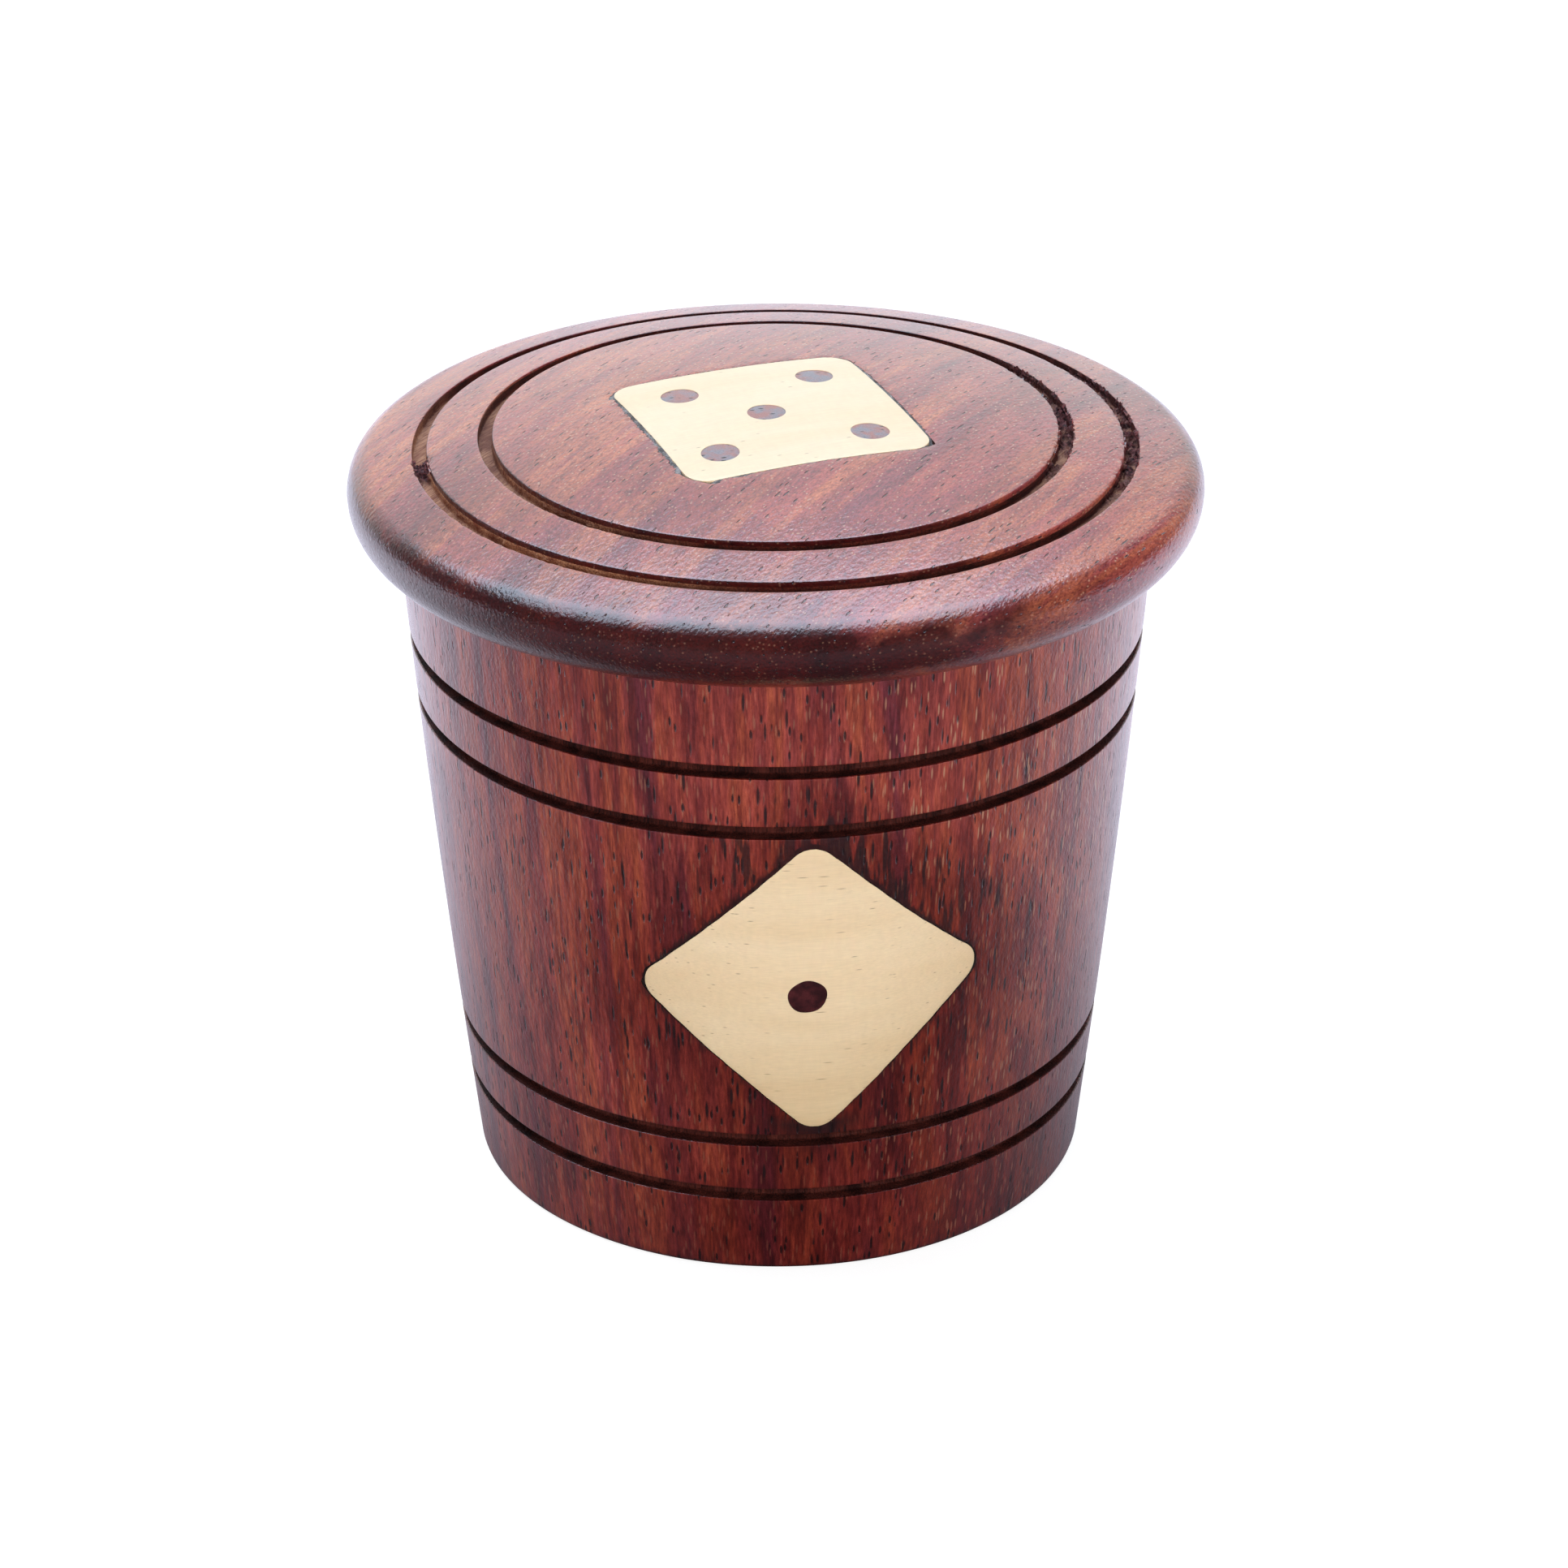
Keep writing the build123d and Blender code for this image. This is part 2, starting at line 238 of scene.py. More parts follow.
def rosewood(
    name,
    grain,
    seed,
    pith,
    layer,
    colours,
    figure,
    dark_marks,
    pale_marks,
    pale_side,
    end_grain,
    gloss,
    stain=None,
):
    """Indian rosewood, turned, sanded and lacquered to a satin.

    The figure is solid.  Growth layers curve round the pith, which lies outside the billet,
    and fibres and pores run along the grain, so a face cut along it shows bands and dashes
    and end grain shows arcs and dots.  End grain drinks the lacquer and goes dark, and the
    lacquer sinks into the open pores.

    pith is where the layers' centre lies and layer how far apart they are, in mm, and
    pale_side the two places along X between which the pale flecks begin to show.
    """
    material, put, place = new_material(name)
    sizes = {"billet": (1, 1, 1), "drift": (16, 16, 110), "ripple": (0.32, 0.32, 0.6)}
    sizes |= {pattern: size for pattern, (size, *_) in (figure | dark_marks | pale_marks).items()}
    at = along_fibres(put, place, grain, sizes, seed)

    # growth layers round the pith, drifting like a real tree's
    drift = put("ShaderNodeTexNoise", {"Vector": at["drift"], "Scale": 1.0, "Detail": 2.0}, out=1)
    drifted = put(
        "ShaderNodeVectorMath", {0: drift, 1: layer_drift, 2: at["billet"]}, operation="MULTIPLY_ADD"
    )
    flat = put("ShaderNodeVectorMath", {0: drifted, 1: (1.0, 1.0, 0.0)}, operation="MULTIPLY")
    ring = put("ShaderNodeVectorMath", {0: flat, 1: (*pith, 0.0)}, out=1, operation="DISTANCE")
    ring = put("ShaderNodeMath", {0: ring, 1: layer}, operation="DIVIDE")
    change = put("ShaderNodeVectorMath", {0: at["billet"], 1: layer_change}, operation="MULTIPLY")
    outward = put("ShaderNodeCombineXYZ", {"X": ring})
    growth = put("ShaderNodeVectorMath", {0: outward, 1: change}, operation="ADD")
    growth = put(
        "ShaderNodeTexNoise",
        {"Vector": growth, "Scale": 1.0, "Detail": 5.0, "Roughness": figure_roughness},
    )
    colour = put("ShaderNodeValToRGB", {"Fac": growth}, stops=colours)

    # clouds, veins, streaks and fine mottle, each a tint between its dark and its light
    tones = {}
    for pattern, (_, detail, low, high, dark, light) in figure.items():
        tones[pattern] = put(
            "ShaderNodeTexNoise",
            {"Vector": at[pattern], "Scale": 1.0, "Detail": detail, "Roughness": figure_roughness},
        )
        tint = put("ShaderNodeValToRGB", {"Fac": tones[pattern]}, stops=[(low, dark), (high, light)])
        colour = put("ShaderNodeVectorMath", {0: colour, 1: tint}, operation="MULTIPLY")

    # end grain, where the surface faces along the fibres, drinks in some clouds more than others;
    # on the lid the same darkening is also painted shade over the shoulder and edge
    fibre_way = Euler(grain).to_matrix() @ Vector((0, 0, 1))
    facing = put("ShaderNodeTexCoord", out="Normal")
    facing = put("ShaderNodeVectorMath", {0: facing, 1: fibre_way}, out=1, operation="DOT_PRODUCT")
    facing = put("ShaderNodeMath", {0: facing}, operation="ABSOLUTE")
    end_grain_and_shade = put("ShaderNodeMapRange", {"Value": tones["cloud"], 1: 0.36, 2: 0.64, 3: 1.3, 4: 0.75})
    end_grain_and_shade = put("ShaderNodeMath", {0: end_grain_and_shade, 1: facing}, operation="MULTIPLY")
    tint = put("ShaderNodeValToRGB", {"Fac": end_grain_and_shade}, stops=[(0.08, "#ffffff"), (0.6, end_grain)])
    colour = put("ShaderNodeVectorMath", {0: colour, 1: tint}, operation="MULTIPLY")

    # Open pores and vessels are dark slots, and those packed with polishing dust are pale ones.
    # Really 0.1 to 0.2 mm wide, they are drawn 0.2 to 0.3 mm wide to show.
    slots = {"dark": 0.0, "pale": 0.0}
    for tone, marks in (("dark", dark_marks), ("pale", pale_marks)):
        for pattern, (_, reach, share) in marks.items():
            slot, draw = cell_slots(put, at[pattern], reach * slot_core, reach)
            kept = put("ShaderNodeMath", {0: draw, 1: share}, operation="LESS_THAN")
            slot = put("ShaderNodeMath", {0: slot, 1: kept}, operation="MULTIPLY")
            slots[tone] = put("ShaderNodeMath", {0: slot, 1: slots[tone]}, operation="MAXIMUM")

    # the dust shows on long grain, and more towards one side of the piece
    aside = put("ShaderNodeSeparateXYZ", {"Vector": place})
    faint, plain = (x * MM for x in pale_side)
    zone = put("ShaderNodeMapRange", {"Value": aside, 1: faint, 2: plain, 3: 0.25, 4: 0.85})
    long_grain = put("ShaderNodeMapRange", {"Value": facing, 1: 0.1, 2: 0.5, 3: 1.0, 4: 0.25})
    zone = put("ShaderNodeMath", {0: zone, 1: long_grain}, operation="MULTIPLY")
    dust = put("ShaderNodeMath", {0: slots["pale"], 1: zone}, operation="MULTIPLY")
    shade = put("ShaderNodeMath", {0: slots["dark"], 1: pore_darkness}, operation="MULTIPLY")
    for mark, tone in ((dust, dust_colour), (shade, pore_colour)):
        colour = put(
            "ShaderNodeMix", {"Factor": mark, 6: colour, 7: linear(tone)}, out=2, data_type="RGBA"
        )
    if stain:
        colour = stain(put, place, colour)

    rough = put(
        "ShaderNodeMapRange", {"Value": tones["mottle"], 1: 0.3, 2: 0.7, 3: gloss, 4: gloss + 0.14}
    )

    # the pores sink twice as deep as the ripple that sanding left
    ripple = put("ShaderNodeTexNoise", {"Vector": at["ripple"], "Scale": 1.0, "Detail": 2.0})
    relief = put("ShaderNodeMath", {0: slots["dark"], 1: -2.0, 2: ripple}, operation="MULTIPLY_ADD")
    bump = put("ShaderNodeBump", {"Height": relief, "Strength": 0.8, "Distance": 0.08 * MM})
    finish = {"Base Color": colour, "Roughness": rough, "Normal": bump, "Coat Normal": bump}
    surface = put("ShaderNodeBsdfPrincipled", finish | satin_lacquer)
    put("ShaderNodeOutputMaterial", {"Surface": surface}, out=None)
    return material


def inlay_stain(put, place, colour):
    """Black filler that bled out of the front pocket's seam and lodged in the pores round it, and the cup
    toned darker towards the base.
    """
    # how far each kind of stain reaches from the plate's edge, in mm
    bleed_reach, inky_reach, drawn_reach, pool_reach, soak_reach = 1.4, 15.0, 10.0, 3.6, 9.0
    seam = 0.05  # from the plate's edge to the middle of its seam
    front_full, front_gone = -18.0 * MM, -12.0 * MM  # only the front is stained

    # the distance from the edge of a rounded square that stands on its corner
    straight = front_side / 2 - plate_corner
    local = put(
        "ShaderNodeMapping",
        {
            "Vector": place,
            "Location": (0.0, 0.0, (plate_height + front_plate_rise) * MM),
            "Rotation": (0.0, pi / 4 - front_plate_turn, 0.0),
            "Scale": (MM, MM, MM),
        },
        vector_type="TEXTURE",
    )
    away = put("ShaderNodeVectorMath", {0: local}, operation="ABSOLUTE")
    away = put("ShaderNodeVectorMath", {0: away, 1: (straight, 0.0, straight)}, operation="SUBTRACT")
    away = put("ShaderNodeVectorMath", {0: away, 1: (0.0, 0.0, 0.0)}, operation="MAXIMUM")
    away = put("ShaderNodeVectorMath", {0: away, 1: (1.0, 0.0, 1.0)}, operation="MULTIPLY")
    away = put("ShaderNodeVectorMath", {0: away}, out=1, operation="LENGTH")
    away = put("ShaderNodeMath", {0: away, 1: plate_corner + seam}, operation="SUBTRACT")
    apart = put("ShaderNodeSeparateXYZ", {"Vector": place}, out=None).outputs
    at = along_fibres(
        put,
        place,
        upright,
        {"bleed": (0.4, 0.4, 2.0), "run": (0.8, 0.8, 9), "inky": (0.6, 0.6, 6.0), "lot": (4, 4, 9)},
    )

    # it bled raggedly into the wood next to the seam
    bleed = put("ShaderNodeTexNoise", {"Vector": at["bleed"], "Scale": 1.0, "Detail": 3.0})
    reach = put("ShaderNodeMapRange", {"Value": bleed, 1: 0.42, 2: 0.66, 3: 0.08, 4: bleed_reach})
    wet = put("ShaderNodeMath", {0: away, 1: reach}, operation="DIVIDE")
    wet = put("ShaderNodeMapRange", {"Value": wet, 1: 0.0, 2: 1.0, 3: 0.85, 4: 0.0})

    # it filled pores in patches, fewer further off and most over the upper right edge
    upper = put("ShaderNodeVectorMath", {0: local, 1: (0.06, 0.0, 0.13)}, out=1, operation="DOT_PRODUCT")
    upper = put("ShaderNodeMapRange", {"Value": upper, 1: 0.2, 2: 1.2, 3: 0.0, 4: 0.5})
    slot, draw = cell_slots(put, at["inky"], 0.18, 0.3, full=0.92)
    lot = put("ShaderNodeTexNoise", {"Vector": at["lot"], "Scale": 1.0, "Detail": 2.0})
    lot = put("ShaderNodeMapRange", {"Value": lot, 1: 0.42, 2: 0.6, 3: 0.35, 4: 1.0})
    near = put("ShaderNodeMapRange", {"Value": away, 1: 1.0, 2: inky_reach, 3: 1.0, 4: 0.12})
    lot = put("ShaderNodeMath", {0: lot, 1: near, 2: upper}, operation="MULTIPLY_ADD")
    lot = put("ShaderNodeMath", {0: lot, 1: near}, operation="MULTIPLY")
    kept = put("ShaderNodeMath", {0: draw, 1: lot}, operation="LESS_THAN")
    slot = put("ShaderNodeMath", {0: slot, 1: kept}, operation="MULTIPLY")
    dark = put("ShaderNodeMath", {0: wet, 1: slot}, operation="MAXIMUM")

    # it was drawn up the fibres in long inky streaks, most of them over the upper edges
    over = put("ShaderNodeVectorMath", {0: local, 1: (-0.5, 0.0, 1.0)}, out=1, operation="DOT_PRODUCT")
    over = put("ShaderNodeMapRange", {"Value": over, 1: 0.1 * front_side, 2: 0.5 * front_side})
    drawn = put("ShaderNodeMapRange", {"Value": away, 1: 0.0, 2: drawn_reach, 3: 1.0, 4: 0.0})
    drawn = put("ShaderNodeMath", {0: drawn, 1: over}, operation="MULTIPLY")
    drawn = put("ShaderNodeMath", {0: drawn, 1: drawn}, operation="MULTIPLY")
    run = put("ShaderNodeTexNoise", {"Vector": at["run"], "Scale": 1.0, "Detail": 3.0})
    run = put("ShaderNodeMath", {0: drawn, 1: 0.24, 2: run}, operation="MULTIPLY_ADD")
    run = put("ShaderNodeMapRange", {"Value": run, 1: 0.64, 2: 0.72, 3: 0.0, 4: 0.8})
    shown = put("ShaderNodeMapRange", {"Value": drawn, 1: 0.02, 2: 0.2})
    run = put("ShaderNodeMath", {0: run, 1: shown}, operation="MULTIPLY")
    dark = put("ShaderNodeMath", {0: dark, 1: run}, operation="MAXIMUM")

    # it pooled between the plate's lowest corner and the groove
    pool = put("ShaderNodeMapRange", {"Value": away, 1: 0.8, 2: pool_reach, 3: 0.85, 4: 0.0})
    pool_top, pool_full = (band_low + 2.6) * MM, (band_low + 1.2) * MM
    sunk = put("ShaderNodeMapRange", {"Value": apart["Z"], 1: pool_top, 2: pool_full})
    pool = put("ShaderNodeMath", {0: pool, 1: sunk}, operation="MULTIPLY")
    dark = put("ShaderNodeMath", {0: dark, 1: pool}, operation="MAXIMUM")

    front = put(
        "ShaderNodeMapRange", {"Value": apart["Y"], 1: front_full, 2: front_gone, 3: 1.0, 4: 0.0}
    )
    dark = put("ShaderNodeMath", {0: dark, 1: front}, operation="MULTIPLY")

    # oil from the filler has deepened the wood round the plate, and the wood is toned darker
    # towards the base, though less on the left
    soak = put("ShaderNodeMapRange", {"Value": away, 1: 0.0, 2: soak_reach, 3: 1.0, 4: 0.0})
    soak = put("ShaderNodeMath", {0: soak, 1: upper, 2: soak}, operation="MULTIPLY_ADD")
    soak = put("ShaderNodeMath", {0: soak, 1: front}, operation="MULTIPLY")
    height = put("ShaderNodeMath", {0: apart["Z"], 1: cup_height * MM}, operation="DIVIDE")
    less_on_left = put("ShaderNodeMapRange", {"Value": apart["X"], 1: -6.0 * MM, 2: -24.0 * MM, 3: 0.0, 4: 0.5})
    height = put("ShaderNodeMath", {0: height, 1: less_on_left}, operation="ADD")
    for amount, stops in (
        (soak, [(0.0, "#ffffff"), (1.0, "#c8a8a0")]),
        (height, [(0.1, "#b69492"), (0.65, "#ffffff")]),
    ):
        tint = put("ShaderNodeValToRGB", {"Fac": amount}, stops=stops)
        colour = put("ShaderNodeVectorMath", {0: colour, 1: tint}, operation="MULTIPLY")
    return put(
        "ShaderNodeMix", {"Factor": dark, 6: colour, 7: linear("#1a0b0d")}, out=2, data_type="RGBA"
    )


def cut_rosewood(name, grain, wall, floor, tan_reach, grit, smudge=None):
    """Rosewood left as the parting tool cut it: raw, fibrous and unlacquered in the groove.

    Its walls are painted dark, partly for end grain and partly as the shade inside the groove,
    and its floor is scraped to a dusty tan, and where the fibres tore out it is a crumbly dark
    red.  On the near left even the walls are tan.
    Single fibres are too fine to show, so they are drawn in tufts 0.16 mm across.
    """
    material, put, place = new_material(name)
    at = along_fibres(
        put, place, grain, {"fibre": (0.16, 0.16, 1.6), "crumb": (grit, grit, grit), "patch": (2, 2, 5)}
    )
    tones = {
        pattern: put("ShaderNodeTexNoise", {"Vector": where, "Scale": 1.0, "Detail": 3.0})
        for pattern, where in at.items()
    }
    mixed = put("ShaderNodeMath", {0: tones["fibre"], 1: tones["patch"]}, operation="MULTIPLY")
    # the walls' ramp is dark partly as painted shade inside the groove, the floor's is its scraped tan
    low, high = (
        put("ShaderNodeValToRGB", {"Fac": mixed}, stops=[(0.16, dark), (0.36, light)])
        for dark, light in (wall, floor)
    )
    up = put("ShaderNodeSeparateXYZ", {"Vector": put("ShaderNodeTexCoord", out="Normal")}, out="Z")
    up = put("ShaderNodeMapRange", {"Value": up, 1: 0.3, 2: 0.9, 3: 0.0, 4: 0.6})
    near_left = put(
        "ShaderNodeVectorMath", {0: place, 1: (-0.9, -0.43, 0.0)}, out=1, operation="DOT_PRODUCT"
    )
    tan_from, tan_full = (reach * MM for reach in tan_reach)
    tan = put("ShaderNodeMapRange", {"Value": near_left, 1: tan_from, 2: tan_full, 3: 0.0, 4: 0.85})
    share = put("ShaderNodeMath", {0: up, 1: tan}, operation="MAXIMUM")
    colour = put("ShaderNodeMix", {"Factor": share, 6: low, 7: high}, out=2, data_type="RGBA")
    crumbs = put("ShaderNodeAttribute", out="Fac", attribute_name="crumbs")
    red = put("ShaderNodeValToRGB", {"Fac": tones["crumb"]}, stops=[(0.4, "#2a0c10"), (0.64, "#7a4040")])
    colour = put("ShaderNodeMix", {"Factor": crumbs, 6: colour, 7: red}, out=2, data_type="RGBA")
    if smudge:
        # scrapings of filler, wiped along the groove
        wiped = (0.35, 0.35, 3.0)
        away = put("ShaderNodeVectorMath", {0: place, 1: Vector(smudge) * MM}, operation="SUBTRACT")
        away = put("ShaderNodeVectorMath", {0: away, 1: wiped}, operation="MULTIPLY")
        away = put("ShaderNodeVectorMath", {0: away}, out=1, operation="LENGTH")
        away = put("ShaderNodeMapRange", {"Value": away, 1: 0.4 * MM, 2: 2.2 * MM, 3: 1.0, 4: 0.0})
        grey = put("ShaderNodeMath", {0: away, 1: tones["crumb"]}, operation="MULTIPLY")
        grey = put("ShaderNodeMapRange", {"Value": grey, 1: 0.3, 2: 0.5, 3: 0.0, 4: 0.75})
        colour = put(
            "ShaderNodeMix", {"Factor": grey, 6: colour, 7: linear("#6e6462")}, out=2, data_type="RGBA"
        )
    relief = put("ShaderNodeMath", {0: tones["fibre"], 1: tones["crumb"]}, operation="ADD")
    bump = put("ShaderNodeBump", {"Height": relief, "Strength": 0.7, "Distance": 0.12 * MM})
    surface = put(
        "ShaderNodeBsdfPrincipled", {"Base Color": colour, "Roughness": 0.7, "Normal": bump, "IOR": 1.5}
    )
    put("ShaderNodeOutputMaterial", {"Surface": surface}, out=None)
    return material


def white_maple(name, grain, colours, dash, dash_share, toned=None):
    """Close-grained white maple under clear lacquer: almost plain, with fine short dark dashes.

    Its last argument is the height up to which it is toned darker, the height above which it
    is plain, and the tint.  Its fibres are too fine to show, so they are drawn 0.12 mm across.
    """
    material, put, place = new_material(name)
    at = along_fibres(
        put,
        place,
        grain,
        {"board": (5, 5, 30), "fibre": (0.12, 0.12, 2.6), "dash": dash, "silk": (1.2, 1.2, 0.5)},
    )
    tones = {
        pattern: put("ShaderNodeTexNoise", {"Vector": at[pattern], "Scale": 1.0, "Detail": 3.0})
        for pattern in ("board", "fibre", "silk")
    }
    colour = put("ShaderNodeValToRGB", {"Fac": tones["board"]}, stops=colours)
    for pattern, dark, light in (("fibre", 0.95, 1.04), ("silk", 0.98, 1.02)):
        tone = put("ShaderNodeMapRange", {"Value": tones[pattern], 1: 0.3, 2: 0.7, 3: dark, 4: light})
        colour = put("ShaderNodeVectorMath", {0: colour, 1: tone}, operation="MULTIPLY")
    if toned:
        low, high, tint = toned
        height = put("ShaderNodeSeparateXYZ", {"Vector": place}, out="Z")
        height = put("ShaderNodeMapRange", {"Value": height, 1: low * MM, 2: high * MM})
        tone = put("ShaderNodeValToRGB", {"Fac": height}, stops=[(0.0, tint), (1.0, "#ffffff")])
        colour = put("ShaderNodeVectorMath", {0: colour, 1: tone}, operation="MULTIPLY")
    mark, draw = cell_slots(put, at["dash"], 0.06, 0.2)
    kept = put("ShaderNodeMapRange", {"Value": draw, 1: dash_share * 0.6, 2: dash_share, 3: 0.6, 4: 0.0})
    mark = put("ShaderNodeMath", {0: mark, 1: kept}, operation="MULTIPLY")
    colour = put(
        "ShaderNodeMix", {"Factor": mark, 6: colour, 7: linear("#7a5a3c")}, out=2, data_type="RGBA"
    )
    relief = put("ShaderNodeMath", {0: mark, 1: -0.8, 2: tones["fibre"]}, operation="MULTIPLY_ADD")
    bump = put("ShaderNodeBump", {"Height": relief, "Strength": 0.2, "Distance": 0.03 * MM})
    surface = put(
        "ShaderNodeBsdfPrincipled",
        {
            "Base Color": colour,
            "Roughness": 0.42,
            "Normal": bump,
            "IOR": 1.5,
            "Subsurface Weight": 0.08,
            "Subsurface Scale": 0.6 * MM,
            "Coat Weight": 0.25,
            "Coat Roughness": 0.25,
            "Coat IOR": 1.5,
        },
    )
    put("ShaderNodeOutputMaterial", {"Surface": surface}, out=None)
    return material


def seam_filler(name, dark, grey):
    """Wood-dust and glue filler, scraped flush: matt, grainy and grey where it smeared.

    Its dust is too fine to show, so it is drawn as grit of 0.14 mm.
    """
    material, put, place = new_material(name)
    at = along_fibres(put, place, upright, {"smear": (1.4, 1.4, 1.4), "grit": (0.14, 0.14, 0.14)})
    tones = {
        pattern: put("ShaderNodeTexNoise", {"Vector": where, "Scale": 1.0, "Detail": 3.0})
        for pattern, where in at.items()
    }
    mixed = put("ShaderNodeMath", {0: tones["smear"], 1: tones["grit"]}, operation="MULTIPLY")
    colour = put("ShaderNodeValToRGB", {"Fac": mixed}, stops=[(0.2, dark), (0.36, grey)])
    bump = put("ShaderNodeBump", {"Height": tones["grit"], "Strength": 0.6, "Distance": 0.05 * MM})
    surface = put(
        "ShaderNodeBsdfPrincipled", {"Base Color": colour, "Roughness": 0.6, "Normal": bump, "IOR": 1.5}
    )
    put("ShaderNodeOutputMaterial", {"Surface": surface}, out=None)
    return material


def spot_face(name, dark, light, nick_share=0.0):
    """The face of a spot, a dowel's end grain or thick paint: blotchy, with black nicks in it.

    The dowel's pores are too fine to show, so they are drawn as grit of 0.12 mm.
    """
    material, put, place = new_material(name)
    patterns = {"blot": (1.3, 1.3, 1.3), "grit": (0.12, 0.12, 0.12), "nick": (0.9, 0.4, 0.9)}
    at = along_fibres(put, place, upright, patterns)
    tones = {
        pattern: put("ShaderNodeTexNoise", {"Vector": at[pattern], "Scale": 1.0, "Detail": 3.0})
        for pattern in ("blot", "grit")
    }
    colour = put("ShaderNodeValToRGB", {"Fac": tones["blot"]}, stops=[(0.4, dark), (0.6, light)])
    tone = put("ShaderNodeMapRange", {"Value": tones["grit"], 1: 0.3, 2: 0.7, 3: 0.8, 4: 1.2})
    colour = put("ShaderNodeVectorMath", {0: colour, 1: tone}, operation="MULTIPLY")
    nick, draw = cell_slots(put, at["nick"], 0.2, 0.34)
    kept = put("ShaderNodeMath", {0: draw, 1: nick_share}, operation="LESS_THAN")
    nick = put("ShaderNodeMath", {0: nick, 1: kept}, operation="MULTIPLY")
    colour = put(
        "ShaderNodeMix", {"Factor": nick, 6: colour, 7: linear("#140a0a")}, out=2, data_type="RGBA"
    )
    relief = put("ShaderNodeMath", {0: nick, 1: -1.0, 2: tones["grit"]}, operation="MULTIPLY_ADD")
    bump = put("ShaderNodeBump", {"Height": relief, "Strength": 0.4, "Distance": 0.05 * MM})
    surface = put(
        "ShaderNodeBsdfPrincipled",
        {"Base Color": colour, "Roughness": 0.4, "Normal": bump, "IOR": 1.5, "Coat Weight": 0.2},
    )
    put("ShaderNodeOutputMaterial", {"Surface": surface}, out=None)
    return material


# which way the fibres lie, as the turn that brings Z onto them
upright = (0.0, 0.0, 0.0)
sideways = (0.0, pi / 2, 0.0)
lid_fibres = (pi / 2, 0.0, radians(144))  # level, 54 degrees from X
lid_plate_fibres = (pi / 2, 0.0, lid_plate_turn + pi / 2)

# A pattern of the figure is its real size across and along the fibres in mm, its detail, and
# the noise levels and tints of its dark and its light.  A mark is its size, its half width as a
# share of that, and the share of cells that have one.  Mottle is single fibres, really 0.02 mm
# across, and the lid's dashes are cut pores: both are drawn as coarse as they need to show.
cup_wood = rosewood(
    "indian_rosewood_cup_satin_lacquer",
    grain=upright,
    seed=0.0,
    pith=(-55.0, 30.0),
    layer=3.4,
    colours=[
        (0.36, "#873844"),
        (0.44, "#a64b46"),
        (0.5, "#b85548"),
        (0.58, "#c66646"),
        (0.66, "#a94c46"),
    ],
    figure={
        "cloud": ((7, 7, 20), 2.0, 0.36, 0.64, "#e6dade", "#ffffff"),
        "veins": ((1.4, 1.4, 34), 4.0, 0.4, 0.48, "#ccb2bc", "#ffffff"),
        "streak": ((0.5, 0.5, 14), 3.0, 0.36, 0.64, "#ccb8ba", "#ffffff"),
        "mottle": ((0.2, 0.2, 2.4), 3.0, 0.36, 0.64, "#c4b0b2", "#ffffff"),
    },
    dark_marks={"pores": ((0.5, 0.5, 2.2), 0.28, 0.34), "vessels": ((0.65, 0.65, 7), 0.21, 0.42)},
    pale_marks={"flecks": ((0.38, 0.38, 3.0), 0.3, 0.65), "threads": ((0.6, 0.6, 7), 0.2, 0.45)},
    pale_side=(0.0, 12.0),
    end_grain="#b08c8c",
    gloss=0.34,
    stain=inlay_stain,
)
lid_wood = rosewood(
    "indian_rosewood_lid_satin_lacquer",
    grain=lid_fibres,
    seed=3.0,
    pith=(20.0, -60.0),
    layer=4.2,
    colours=[
        (0.34, "#904050"),
        (0.43, "#aa4a4f"),
        (0.51, "#ba5a51"),
        (0.6, "#ce7650"),
        (0.7, "#ac4d4d"),
    ],
    figure={
        "cloud": ((5, 5, 14), 3.0, 0.36, 0.62, "#dec8d4", "#ffffff"),
        "veins": ((0.9, 0.9, 8), 4.0, 0.38, 0.48, "#e2d2e0", "#ffffff"),
        "dash": ((0.28, 0.28, 1.1), 2.0, 0.35, 0.43, "#ccb4c4", "#ffffff"),
        "mottle": ((0.2, 0.2, 0.4), 3.0, 0.36, 0.64, "#bca6aa", "#fff6ea"),
    },
    dark_marks={"pores": ((0.42, 0.42, 2.0), 0.24, 0.24), "vessels": ((0.7, 0.7, 5), 0.16, 0.22)},
    pale_marks={"flecks": ((0.4, 0.4, 0.6), 0.28, 0.5)},
    pale_side=(-60.0, -20.0),
    # the end-grain tint, which on the lid is also painted shade over the shoulder and edge
    end_grain="#68343a",
    gloss=0.3,
)
# the cup's grooves, walls and floor alike, are painted dark as the shade inside them
groove_shade_paint = ("#1c0a09", "#4a1e18")
cup_cut = cut_rosewood(
    "indian_rosewood_cup_raw_cut",
    upright,
    wall=groove_shade_paint,
    floor=groove_shade_paint,
    tan_reach=(60.0, 70.0),  # past the cup, so nowhere
    grit=0.3,
    smudge=(0.5, 1.0 - cup_base_radius, band_low + 0.5),
)
lid_cut = cut_rosewood(
    "indian_rosewood_lid_raw_cut",
    lid_fibres,
    # the lid's groove walls are painted dark, partly end grain and partly the shade inside the groove
    wall=("#30100c", "#66281c"),
    floor=("#8a4e36", "#d49e78"),
    tan_reach=(19.0, 29.0),
    grit=0.25,
)
lid_maple = white_maple(
    "white_maple_lid_plate_lacquered",
    lid_plate_fibres,
    colours=[(0.35, "#ead0aa"), (0.65, "#eed6b4")],
    dash=(0.5, 0.5, 1.6),
    dash_share=0.1,
)
front_maple = white_maple(
    "white_maple_front_plate_lacquered",
    sideways,
    colours=[(0.3, "#e6cda8"), (0.7, "#f0dcbc")],
    dash=(0.36, 0.36, 3.4),
    dash_share=0.42,
    # toned darker towards its lower tip
    toned=(band_low, plate_height + 2.0, "#e2dcd0"),
)
